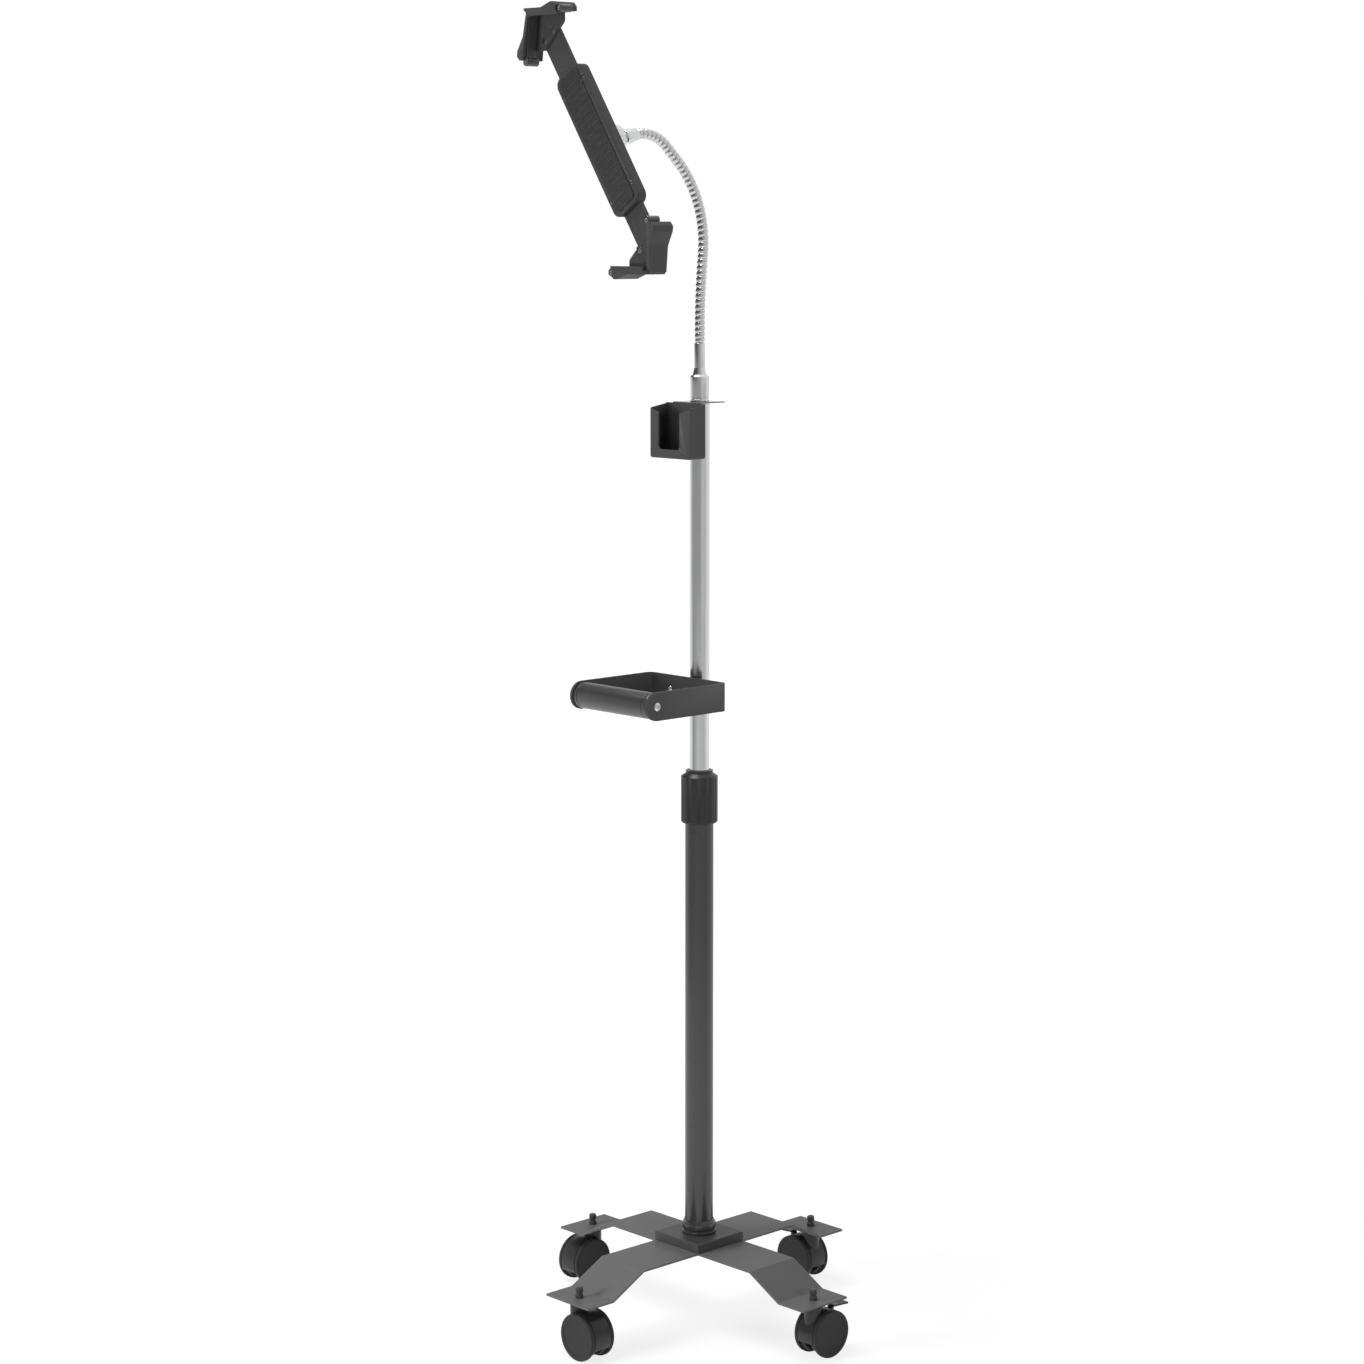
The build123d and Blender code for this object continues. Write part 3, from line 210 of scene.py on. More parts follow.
print("mixing the finishes")
coatKeys = ("name", "shade", "roughness", "gloss", "grain", "patch", "bump", "rub", "tint")
coats = {
    "black_steel": ("blackedSteel", 0.045, 0.45, 0.3, 1400.0, 30.0, 0.2, 0.4),
    "baseCoat": ("texturedBaseCoat", 0.118, 0.56, 0.15, 1100.0, 22.0, 0.45, 0.15),
    # the cap's coat is the base coat made darker: painted shade for the cap's shaded faces
    "shadedCapCoat": ("darkCapCoat", 0.045, 0.45, 0.2, 1400.0, 22.0, 0.3, 0.3),
    "black_tube": ("satinBlackCoat", 0.048, 0.46, 0.15, 1200.0, 16.0, 0.2, 0.3),
    "tabCoat": ("smoothTabCoat", 0.05, 0.1, 1.0, 900.0, 16.0, 0.01, 0.3),
    "poleCoat": ("poleBlackCoat", 0.022, 0.25, 0.75, 900.0, 12.0, 0.1, 0.2),
    "black_plastic": ("mouldedBlack", 0.015, 0.3, 0.4, 2200.0, 40.0, 0.12, 0.25),
    "clawMoulding": ("grainedMoulding", 0.042, 0.5, 0.25, 800.0, 60.0, 0.4, 0.2),
    "wheel_plastic": ("wheelBlack", 0.031, 0.5, 0.15, 1800.0, 60.0, 0.2, 0.5),
    "bush_plastic": ("naturalNylon", 0.42, 0.5, 0.5, 1500.0, 50.0, 0.1, 0.0, (1.0, 0.99, 0.95)),
    "knob_plastic": ("glossyKnobBlack", 0.022, 0.28, 0.5, 2500.0, 50.0, 0.06, 0.2),
}
# valley is the colour of the painted shade in the hollows, as a share of the shade; 1 paints no shade
metalKeys = ("name", "shade", "tint", "roughness", "grain", "stretch", "bump", "valley")
metals = {
    "chrome": ("chromePlate", 0.78, (0.985, 0.99, 1.0), 0.15, 700.0, (1.0, 1.0, 0.03), 0.04, 1.0),
    "neckPlate": ("woundNeckPlate", 0.68, (0.985, 0.99, 1.0), 0.2, 900.0, plain, 0.08, 0.18),
    "zinc_steel": ("zincPlate", 0.68, (1.0, 0.995, 0.97), 0.26, 1500.0, plain, 0.12, 1.0),
}
rubber = Settings(name="gripRubber", shade=0.027, roughness=0.32, gloss=0.85, grain=1600.0, bump=0.2)
finishes = {finish: coatedFinish(Settings(zip(coatKeys, row))) for finish, row in coats.items()}
finishes.update({finish: metalFinish(Settings(zip(metalKeys, row))) for finish, row in metals.items()})
finishes["grip_rubber"] = rubberFinish(rubber)
for row in frame["record"]["subparts"]:
    node = frame["nodes"][row["node"]]
    node.data.materials.clear()
    node.data.materials.append(finishes[row["material_slot"]])


# Mesh helpers, in millimetres until addPiece

def onCircle(radius, angle):
    return radius * math.cos(angle), radius * math.sin(angle)


def roundCorners(corners, closed=True, step=15):
    # corners are (x, y) or (x, y, radius); each radius becomes a short arc
    points = []
    count = len(corners)
    for index, corner in enumerate(corners):
        here = Vector(corner[:2])
        radius = corner[2] if len(corner) > 2 else 0
        atEnd = not closed and index in (0, count - 1)
        if radius <= 0 or atEnd:
            points.append((here.x, here.y))
            continue
        back = Vector(corners[index - 1][:2]) - here
        ahead = Vector(corners[(index + 1) % count][:2]) - here
        reach = 0.49 * min(back.length, ahead.length)
        back.normalize()
        ahead.normalize()
        half = math.acos(max(-1, min(1, back.dot(ahead)))) / 2
        if half > math.radians(89):
            points.append((here.x, here.y))
            continue
        run = min(radius / math.tan(half), reach)
        radius = run * math.tan(half)
        middle = here + (back + ahead).normalized() * (radius / math.sin(half))
        first = here + back * run - middle
        turn = math.pi - 2 * half
        if first.cross(here + ahead * run - middle) < 0:
            turn = -turn
        steps = max(2, math.ceil(abs(math.degrees(turn)) / step))
        for number in range(steps + 1):
            c, s = onCircle(1, turn * number / steps)
            points.append((middle.x + first.x * c - first.y * s, middle.y + first.x * s + first.y * c))
    return points


def rectangle(left, right, front, back, rounding=0, step=15):
    corners = ((left, front), (right, front), (right, back), (left, back))
    return roundCorners([(*corner, rounding) for corner in corners], step=step)


def offsetLine(path, distance):
    # the same open line, moved sideways to its left
    moved = []
    for index, (x, y) in enumerate(path):
        before = Vector(path[max(index - 1, 0)])
        after = Vector(path[min(index + 1, len(path) - 1)])
        here = Vector((x, y))
        first = (here - before).normalized() if index else (after - here).normalized()
        second = (after - here).normalized() if index < len(path) - 1 else first
        mean = (first + second).normalized()
        reach = distance / max(0.3, mean.dot(first))
        moved.append((x - mean.y * reach, y + mean.x * reach))
    return moved


def ringPairs(rings, closed):
    return list(zip(rings, rings[1:])) + ([(rings[-1], rings[0])] if closed else [])


def loftRings(rings, closed=False):
    # skins rings of points, all with the same count, into one closed form
    form = bmesh.new()
    made = [[form.verts.new(point) for point in ring] for ring in rings]
    count = len(rings[0])
    for lower, upper in ringPairs(made, closed):
        for index in range(count):
            follow = (index + 1) % count
            form.faces.new((lower[index], lower[follow], upper[follow], upper[index]))
    if not closed:
        form.faces.new(list(reversed(made[0])))
        form.faces.new(made[-1])
    return form


def slab(outline, low, high):
    # flat outline pulled up between two heights
    return loftRings([[(x, y, low) for x, y in outline], [(x, y, high) for x, y in outline]])


def lathe(corners, segments=72, closed=False, step=15):
    # (radius, height, rounding) corners turned about Z; closed joins the last corner to the first
    form = bmesh.new()
    rings = []
    for radius, height in roundCorners(corners, closed, step):
        if radius < 1e-6:
            rings.append([form.verts.new((0, 0, height))])
        else:
            rings.append([form.verts.new((*onCircle(radius, math.tau * k / segments), height))
                          for k in range(segments)])
    for lower, upper in ringPairs(rings, closed):
        for k in range(segments):
            follow = (k + 1) % segments
            corner = [lower[k % len(lower)], lower[follow % len(lower)], upper[follow % len(upper)],
                      upper[k % len(upper)]]
            corner = list(dict.fromkeys(corner))
            if len(corner) > 2:
                form.faces.new(corner)
    return form


def shapedTurn(profile, segments, reachAt, closed=True):
    # turned form whose radius at step k comes from reachAt(radius, height, k)
    return loftRings([[(*onCircle(reachAt(radius, height, k), math.tau * k / segments), height)
                       for k in range(segments)] for radius, height in profile], closed)


def rod(radius, low, high, segments):
    return lathe([(0, low), (radius, low), (radius, high), (0, high)], segments)


def combine(form, tool, operation="DIFFERENCE"):
    # boolean of two closed forms; both are used up
    holders = []
    for part in (form, tool):
        bmesh.ops.recalc_face_normals(part, faces=part.faces)
        mesh = bpy.data.meshes.new("combineMesh")
        part.to_mesh(mesh)
        part.free()
        holders.append(bpy.data.objects.new("combineHolder", mesh))
        bpy.context.scene.collection.objects.link(holders[-1])
    joining = holders[0].modifiers.new("combine", "BOOLEAN")
    joining.operation = operation
    joining.object = holders[1]
    joining.solver = "EXACT"
    result = bmesh.new()
    result.from_object(holders[0], bpy.context.evaluated_depsgraph_get())
    for holder in holders:
        mesh = holder.data
        bpy.data.objects.remove(holder)
        bpy.data.meshes.remove(mesh)
    bmesh.ops.remove_doubles(result, verts=result.verts, dist=0.001)
    return result


def union(form, tool):
    return combine(form, tool, "UNION")


def placed(form, place):
    form.transform(place)
    return form


def addPiece(name, form, body, finish, nodes=(), bevel=0.0, slices=3, sharp=35, sheet=0.0):
    # a finished piece: real edges, its finish, the body that it rides on and the nodes it stands for
    if not sheet:
        bmesh.ops.recalc_face_normals(form, faces=form.faces)
    form.transform(Matrix.Scale(mm, 4))
    limit = math.radians(sharp)
    for face in form.faces:
        face.smooth = True
    for edge in form.edges:
        edge.smooth = edge.calc_face_angle(0) < limit
    mesh = bpy.data.meshes.new(name)
    form.to_mesh(mesh)
    form.free()
    piece = bpy.data.objects.new(name, mesh)
    bpy.context.scene.collection.objects.link(piece)
    mesh.materials.append(finishes[finish])
    if sheet:
        thicken = piece.modifiers.new("sheet", "SOLIDIFY")
        thicken.thickness = sheet * mm
        thicken.offset = -1
        thicken.use_even_offset = True
    if bevel:
        ease = piece.modifiers.new("edges", "BEVEL")
        ease.width = bevel * mm
        ease.segments = slices
        ease.limit_method = "ANGLE"
        ease.angle_limit = limit
        ease.harden_normals = True
        ease.miter_outer = "MITER_ARC"
    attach(piece, body)
    if nodes:
        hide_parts(*nodes)
    return piece


def shift(x, y, z):
    return Matrix.Translation((x, y, z))


def turnZ(degrees):
    return Matrix.Rotation(math.radians(degrees), 4, "Z")


def axes(origin, xAxis, zAxis):
    # placement from an origin, an X direction and a Z direction
    x, z = Vector(xAxis).normalized(), Vector(zAxis).normalized()
    made = Matrix((x, z.cross(x), z)).transposed().to_4x4()
    made.translation = Vector(origin)
    return made


def alongY(x, y, z):
    # turned form whose axis runs along +Y
    return axes((x, y, z), (1, 0, 0), (0, 1, 0))


def facingFront(x, y, z):
    # outline in the upright plane across the front, pulled towards -Y
    return axes((x, y, z), (1, 0, 0), (0, -1, 0))


def crossDrive(depth, arm, width, top):
    # cutter for a cross recess in a screw head, pointing down from a height
    bars = [slab(rectangle(-x, x, -y, y), top - depth, top + 1) for x, y in ((arm, width), (width, arm))]
    return union(*bars)


def hexOutline(corner):
    return [onCircle(corner, math.radians(60 * k)) for k in range(6)]


# Base

print("building the base")
base = Settings(legWidth=65.5, legReach=189.0, footStart=153.2, slopeStart=110.6, footTop=61.6, deckTop=84.4,
                sheet=2.0, bend=1.2, tipRound=1.2, capSide=66.8, capHeight=10.0, capSheet=2.5, capEdge=1.4,
                capDraft=0.06, capGap=0.1)


def foldedCross(half, stations):
    # a centre square with four flaps; stations are (distance out, height, half width) down a flap
    form = bmesh.new()
    corners = ((half, half), (-half, half), (-half, -half), (half, -half))
    form.faces.new([form.verts.new((x, y, stations[0][1])) for x, y in corners])
    for quarter in range(4):
        turn = turnZ(90 * quarter)
        before = None
        for out, level, wide in stations:
            row = [form.verts.new(turn @ Vector((out, side * wide, level))) for side in (-1, 1)]
            if before:
                form.faces.new((before[0], row[0], row[1], before[1]))
            before = row
    bmesh.ops.remove_doubles(form, verts=form.verts, dist=0.01)
    return form


half = base.legWidth / 2
tip = base.legReach - base.tipRound
line = roundCorners([(half, base.deckTop), (base.slopeStart, base.deckTop, base.bend + base.sheet),
                     (base.footStart, base.footTop, base.bend), (tip, base.footTop)], closed=False, step=5)
stations = [(x, z, half) for x, z in line]
for angle in (30, 60, 90):
    c, s = onCircle(base.tipRound, math.radians(angle))
    stations.append((tip + s, base.footTop, half - base.tipRound + c))
addPiece("baseCross", foldedCross(half, stations), "base", "baseCoat", ["base_cross"], bevel=0.35, slices=2,
         sheet=base.sheet)

half = base.capSide / 2
flat = half - base.capEdge
capTop = base.deckTop + base.capHeight
stations = [(flat, capTop, flat)]
for angle in (18, 36, 54, 72, 90):
    c, s = onCircle(base.capEdge, math.radians(angle))
    stations.append((flat + s, capTop - base.capEdge + c, flat + s - base.capDraft))
stations.append((half, base.deckTop + base.capGap, half - base.capDraft))
# the cap takes the darker coat, which paints shade onto it
addPiece("hubCap", foldedCross(flat, stations), "base", "shadedCapCoat", ["hub_cap"], bevel=0.2, slices=2,
         sheet=base.capSheet)

size = Settings(radius=18.0, height=15.0, floor=3.0, grooveDepth=1.0, grooveHeight=2.2, chamfer=4.0, bore=15.1)
grooveLow = capTop + size.floor
grooveHigh = grooveLow + size.grooveHeight
groove = size.radius - size.grooveDepth
top = capTop + size.height
form = lathe([(size.bore, capTop), (size.radius, capTop, 0.4), (size.radius, grooveLow, 0.5),
              (groove, grooveLow, 0.3), (groove, grooveHigh, 0.3), (size.radius, grooveHigh, 0.5),
              (size.radius, top - size.chamfer, 1.2), (size.bore + 0.5, top, 0.4), (size.bore, top)],
             96, closed=True)
addPiece("poleSocket", form, "base", "poleCoat", ["pole_socket"])

# Poles and clutch

print("building the poles")
poles = Settings(lowerRadius=15.0, lowerWall=1.5, lowerFoot=97.4, lowerTop=559.0, upperRadius=10.5,
                 upperWall=1.2, upperFoot=267.0, upperTop=981.4)


def tube(radius, wall, low, high):
    inner = radius - wall
    return lathe([(inner, low, 0.2), (radius, low, 0.4), (radius, high, 0.4), (inner, high, 0.2)], 96,
                 closed=True)


addPiece("lowerPole", tube(poles.lowerRadius, poles.lowerWall, poles.lowerFoot, poles.lowerTop), "base",
         "poleCoat", ["lower_pole"])
addPiece("upperPole", tube(poles.upperRadius, poles.upperWall, poles.upperFoot, poles.upperTop), "upper",
         "chrome", ["upper_pole"])

collar = Settings(radius=19.5, low=541.0, high=597.0, bore=15.3, footRadius=18.3, footHeight=1.2,
                  ringRadius=14.4, ringHeight=3.0, shoulder=3.5, neck=10.8, neckDepth=6, boreDepth=22,
                  flutes=12, stepsPerFlute=24, fluteDepth=1.1, fluteSpan=4.2, fluteFade=2.0, fluteInset=0.6)


def flutedCollar():
    size = collar
    foot = size.low + size.footHeight
    ring = size.high - size.ringHeight
    shoulder = ring - size.shoulder
    segments = size.flutes * size.stepsPerFlute

    def reachAt(radius, height, k):
        if radius <= size.footRadius:
            return radius
        fade = min(1, max(0, (height - foot - size.fluteInset) / size.fluteFade),
                   max(0, (shoulder - size.fluteInset - height) / size.fluteFade))
        nearest = (k % size.stepsPerFlute - size.stepsPerFlute / 2) * math.tau / segments * size.radius
        dip = max(0, 1 - (2 * nearest / size.fluteSpan) ** 2) * size.fluteDepth
        return radius - dip * (fade * fade * (3 - 2 * fade))

    profile = roundCorners([(size.bore, size.low, 0.3), (size.footRadius, size.low, 0.3),
                            (size.footRadius, foot, 0.2), (size.radius, foot, 0.5),
                            (size.radius, foot + size.fluteFade), (size.radius, shoulder - size.fluteFade),
                            (size.radius, shoulder, 1.0), (size.ringRadius, ring, 0.3),
                            (size.ringRadius, size.high, 0.5), (size.neck, size.high, 0.3),
                            (size.neck, size.high - size.neckDepth), (size.bore, size.high - size.boreDepth)])
    return shapedTurn(profile, segments, reachAt)


addPiece("clutchCollar", flutedCollar(), "clutch", "black_plastic", ["clutch_collar"], sharp=40)

# Handle

print("building the handle")
handle = Settings(halfWidth=58.3, back=15.4, axis=114.5, middle=682.0, height=29.2, sheet=3.0, bend=7.0,
                  gripRadius=13.6, gripGap=0.3, gripRound=2.2, gripRing=5.5, gripRingWide=1.0,
                  gripRingDepth=0.45, screwHead=4.3, screwHeight=2.0, screwLength=14, screwRadius=2,
                  strapSheet=2.5, strapHeight=15.0, strapHalf=32.0, strapGap=0.1, boltReach=24.7, boltHead=3.2,
                  boltHeight=2.0, boltRadius=2.4, boltHex=1.75, boltHexDepth=1.6, nut=4.6, nutHeight=4.0,
                  nutEdge=0.7, threadRadius=2.5, threadTop=5.2, saddleHalf=9.6)


def handleFrame():
    # one strip bent round the back, with half round ends about the grip's axis
    size = handle
    half = size.halfWidth
    radius = size.height / 2
    side = [(half, -size.axis - radius * math.sin(math.radians(angle)))
            for angle in (90, 84, 76, 66, 54, 40, 26, 12, 0)]
    path = roundCorners(side + [(half, -size.back, size.bend), (-half, -size.back, size.bend)]
                        + [(-x, y) for x, y in reversed(side)], closed=False)
    rings = []
    for (x, y), (innerX, innerY) in zip(path, offsetLine(path, size.sheet)):
        past = max(0, -y - size.axis)
        tall = math.sqrt(max(radius ** 2 - past ** 2, 0.04))
        low, high = size.middle - tall, size.middle + tall
        rings.append([(x, y, low), (x, y, high), (innerX, innerY, high), (innerX, innerY, low)])
    return loftRings(rings)


addPiece("handleFrame", handleFrame(), "upper", "black_tube", ["handle_frame"], bevel=0.45, slices=3)

size = handle
reach = size.halfWidth - size.sheet - size.gripGap
ringIn = reach - size.gripRing
ringFloor = size.gripRadius - size.gripRingDepth
profile = [(0, -reach), (size.gripRadius, -reach, size.gripRound)]
for side in (-1, 1):
    first, last = sorted((side * ringIn, side * (ringIn - size.gripRingWide)))
    profile += [(size.gripRadius, first, 0.25), (ringFloor, first + 0.15, 0.1), (ringFloor, last - 0.15, 0.1),
                (size.gripRadius, last, 0.25)]
profile += [(size.gripRadius, reach, size.gripRound), (0, reach)]
form = placed(lathe(profile, 96), axes((0, -size.axis, size.middle), (0, 1, 0), (1, 0, 0)))
addPiece("handleGrip", form, "upper", "grip_rubber", ["handle_grip"])

for side, name in ((1, "Right"), (-1, "Left")):
    head = lathe([(0, -size.screwLength), (size.screwRadius, -size.screwLength, 0.3), (size.screwRadius, 0),
                  (size.screwHead, 0, 0.2), (size.screwHead, 0.7, 0.3),
                  (size.screwHead * 0.62, size.screwHeight, 1.4), (0, size.screwHeight)], 48)
    head = combine(head, crossDrive(1.2, 2.3, 0.42, size.screwHeight))
    place = axes((side * size.halfWidth, -size.axis, size.middle), (0, 0.9, 0.45), (side, 0, 0))
    addPiece("gripScrew" + name, placed(head, place), "upper", "zinc_steel",
             ["grip_screws"] if side > 0 else [], sharp=30)


def strapOutline():
    size = handle
    inner = poles.upperRadius + size.strapGap
    outer = inner + size.strapSheet
    back, face = -size.back, -size.back + size.strapSheet
    arc = [math.radians(angle) for angle in range(0, 181, 9)]
    points = [(size.strapHalf, back, 0.8), (size.strapHalf, face, 0.8), (outer, face, 1.6)]
    points += [onCircle(outer, angle) for angle in arc]
    points += [(-outer, face, 1.6), (-size.strapHalf, face, 0.8), (-size.strapHalf, back, 0.8),
               (-inner, back, 1.6)]
    points += [onCircle(inner, angle) for angle in reversed(arc)]
    points += [(inner, back, 1.6)]
    return roundCorners(points)


low = size.middle - size.strapHeight / 2
high = size.middle + size.strapHeight / 2
addPiece("poleStrap", slab(strapOutline(), low, high), "upper", "black_tube", ["handle_strap"], bevel=0.4)

hollow = poles.upperRadius + size.strapGap
start = math.degrees(math.asin(size.saddleHalf / hollow))
points = [(-size.saddleHalf, -size.back), (size.saddleHalf, -size.back)]
points += [onCircle(hollow, math.radians(-90 + start - 2 * start * k / 16)) for k in range(17)]
addPiece("poleSaddle", slab(points, low, high), "upper", "black_tube", ["handle_saddle"], bevel=0.4)

for side, name in ((1, "Right"), (-1, "Left")):
    x = side * size.boltReach
    top = size.boltHeight
    head = lathe([(0, -0.5), (size.boltRadius, -0.5), (size.boltRadius, 0), (size.boltHead, 0, 0.2),
                  (size.boltHead, 0.9, 0.4), (size.boltHead * 0.6, top, 1.6), (0, top)], 48)
    head = combine(head, slab(hexOutline(size.boltHex), top - size.boltHexDepth, top + 1))
    head = placed(head, facingFront(x, -size.back - size.sheet, size.middle))
    addPiece("strapBolt" + name, head, "upper", "zinc_steel", ["strap_bolts"] if side > 0 else [], sharp=30)
    top, narrow, wide = size.nutHeight, size.nut - 0.35, size.nut + 0.4
    dome = lathe([(0, -0.01), (narrow, -0.01), (wide, size.nutEdge), (wide, top - size.nutEdge),
                  (narrow, top + 0.01), (0, top + 0.01)], 48)
    nut = combine(slab(hexOutline(size.nut), 0, top), dome, "INTERSECT")
    nut = union(nut, lathe([(0, 0), (size.threadRadius, 0), (size.threadRadius, size.threadTop, 0.4),
                            (0, size.threadTop)], 32))
    nut = placed(nut, alongY(x, -size.back + size.strapSheet, size.middle))
    addPiece("strapNut" + name, nut, "upper", "zinc_steel", sharp=30)

# Pocket

print("building the pocket")
pocket = Settings(half=29.2, front=43.9, back=18.3, low=925.4, sideTop=976.9, backTop=980.6, tabTop=982.6,
                  sheet=2.0, round=2.6, slotHalf=16.0, slotLow=934.8, slotRound=3.5, lipDrop=4.6, tabHalf=19.3,
                  tabSheet=1.2)


def pocketBox(grow, low, high, rounding):
    # rounded box whose lower edges are rounded too
    size = pocket
    side, front, back = size.half + grow, -size.front - grow, -size.back + grow
    rings = []
    for angle in (0, 18, 36, 54, 72, 90):
        inset = rounding * (1 - math.sin(math.radians(angle)))
        level = low + rounding * (1 - math.cos(math.radians(angle)))
        outline = rectangle(inset - side, side - inset, front + inset, back - inset,
                            max(rounding - inset, 0.05))
        rings.append([(x, y, level) for x, y in outline])
    rings.append([(x, y, high) for x, y, _ in rings[-1]])
    return loftRings(rings)


def pocketShell():
    size = pocket
    wall = size.sheet
    above = size.tabTop + 20
    front, back = -size.front, -size.back
    shell = combine(pocketBox(0, size.low, size.tabTop + 5, size.round),
                    pocketBox(-wall, size.low + wall, above, size.round - wall + 0.2))
    facingSide = axes((-size.half - 5, 0, 0), (0, 1, 0), (1, 0, 0))
    joint = size.tabTop - size.tabSheet
    rise = [(front - 5, size.sideTop - 1), (back - wall - 0.1, size.backTop), (back - wall, joint),
            (back + 5, joint), (back + 5, above), (front - 5, above)]
    shell = combine(shell, placed(slab(rise, 0, 2 * size.half + 10), facingSide))
    slot, wide = size.slotHalf, size.half + 3
    lip, shoulder = size.sideTop - size.lipDrop, size.sideTop + 0.4
    fall = roundCorners([(-wide, shoulder), (-slot, lip, 1.5), (-slot, size.slotLow, size.slotRound),
                         (slot, size.slotLow, size.slotRound), (slot, lip, 1.5), (wide, shoulder),
                         (wide, above), (-wide, above)])
    return combine(shell, placed(slab(fall, 0, wall + 3), facingFront(0, front + wall + 0.4, 0)))


size = pocket
addPiece("pocketShell", pocketShell(), "upper", "black_tube", ["pole_pocket"], bevel=0.35, slices=2)
start = -size.back - size.sheet
tab = roundCorners([(-size.tabHalf, start, 0.8), (size.tabHalf, start, 0.8),
                    (size.tabHalf, size.tabHalf, 2.2), (-size.tabHalf, size.tabHalf, 2.2)])
addPiece("pocketTab", slab(tab, size.tabTop - size.tabSheet, size.tabTop), "upper", "tabCoat", bevel=0.3,
         slices=3)

# Gooseneck between its two ferrules

print("building the gooseneck")
neck = Settings(crest=5.5, valley=4.2, pitch=5.75, lead=10.8, lean=6.4, leanLength=78.0, mainRadius=112.8,
                endRadius=47.7, sleeveTop=1042.5, ballReach=119.5, ballHeight=1246.0, droop=11.5,
                ferruleStart=14.0, ferruleLength=18.0, ringsPerTurn=12, segments=48, fade=2.5, crestPower=0.55,
                gripped=5)
droop = math.radians(neck.droop)


def heading(angle):
    return Vector((0, -math.sin(angle), math.cos(angle)))


def turning(angle):
    return Vector((0, -math.cos(angle), -math.sin(angle)))


def fromBall(distance):
    y, z = onCircle(distance, droop)
    return Vector((0, y - neck.ballReach, z + neck.ballHeight))


def neckStretches():
    # lean back, long turn forward, short straight and tighter end turn
    size = neck
    lean = math.radians(size.lean)
    foot = Vector((0, 0, size.sleeveTop))
    start = foot + Vector((0, 0, size.lead))
    backRadius = size.leanLength / lean
    leanEnd = start - backRadius * turning(0) + backRadius * turning(-lean)
    firstHub = leanEnd + size.mainRadius * turning(-lean)
    lastAngle = math.pi / 2 + droop
    lastHub = fromBall(size.ferruleStart + size.ferruleLength) + size.endRadius * turning(lastAngle)
    across = lastHub - firstHub
    step = size.endRadius - size.mainRadius
    run = math.sqrt(across.length_squared - step ** 2)
    angle = math.atan2(across.z, across.y) - math.atan2(step, run) - math.pi / 2
    return [(foot, 0, size.lead, None), (start, 0, size.leanLength, -backRadius),
            (leanEnd, -lean, size.mainRadius * (angle + lean), size.mainRadius),
            (firstHub - size.mainRadius * turning(angle), angle, run, None),
            (lastHub - size.endRadius * turning(angle), angle, size.endRadius * (lastAngle - angle),
             size.endRadius)]


stretches = neckStretches()
neckLength = sum(stretch[2] for stretch in stretches)


def alongNeck(distance):
    # point and direction at a distance along the neck
    for place, angle, length, radius in stretches:
        if distance <= length:
            break
        distance -= length
    if radius is None:
        return place + heading(angle) * distance, heading(angle)
    hub = place + radius * turning(angle)
    angle += distance / radius
    return hub - radius * turning(angle), heading(angle)


def woundTube():
    # round strip wound in a helix: the crest runs round the tube once in each pitch
    size = neck
    turns = round(neckLength / size.pitch)
    count = turns * size.ringsPerTurn
    side = Vector((1, 0, 0))
    rings = []
    for number in range(count + 1):
        distance = neckLength * number / count
        place, ahead = alongNeck(min(distance, neckLength - 1e-6))
        third = ahead.cross(side)
        ease = max(min(1, distance / size.fade, (neckLength - distance) / size.fade), 0)
        row = []
        for k in range(size.segments):
            phase = (turns * number / count - k / size.segments) % 1
            crest = max(0, math.sin(math.pi * phase)) ** size.crestPower
            radius = size.valley + (size.crest - size.valley) * crest * ease
            c, s = onCircle(1, math.tau * k / size.segments)
            row.append(place + radius * (c * side + s * third))
        rings.append(row)
    return loftRings(rings)


neckPiece = addPiece("woundNeck", woundTube(), "upper", "neckPlate", ["gooseneck"], sharp=75)
neckPiece.parent = None
del neckPiece["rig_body"]
alongNeck(neck.gripped)[0] * mm
alongNeck(neckLength - neck.gripped)[0] * mm
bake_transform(neckPiece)

ferrule = Settings(low=982.6, radius=10.0, top=1009.7, grooveDepth=0.7, grooveHeight=1.2, groovePlace=2.6,
                   shoulder=1.4, sleeveFoot=7.4, sleeve=5.8, flare=7.0, sleeveTop=1042.5, bore=4.3, seat=3)
size = ferrule
grooveLow = size.low + size.groovePlace
grooveHigh = grooveLow + size.grooveHeight
inset = size.radius - size.grooveDepth
form = lathe([(0, size.low), (size.radius, size.low, 0.3), (size.radius, grooveLow, 0.3),
              (inset, grooveLow, 0.15), (inset, grooveHigh, 0.15), (size.radius, grooveHigh, 0.3),
              (size.radius, size.top - size.shoulder, 0.5), (size.radius - size.shoulder, size.top, 0.4),
              (size.sleeveFoot, size.top, 0.5), (size.sleeve, size.top + size.flare, 6.0),
              (size.sleeve, size.sleeveTop, 0.5), (size.bore, size.sleeveTop, 0.3),
              (size.bore, size.sleeveTop - size.seat), (0, size.sleeveTop - size.seat)], 96)
addPiece("lowerFerrule", form, "upper", "chrome", ["lower_ferrule"])

# Ball joint

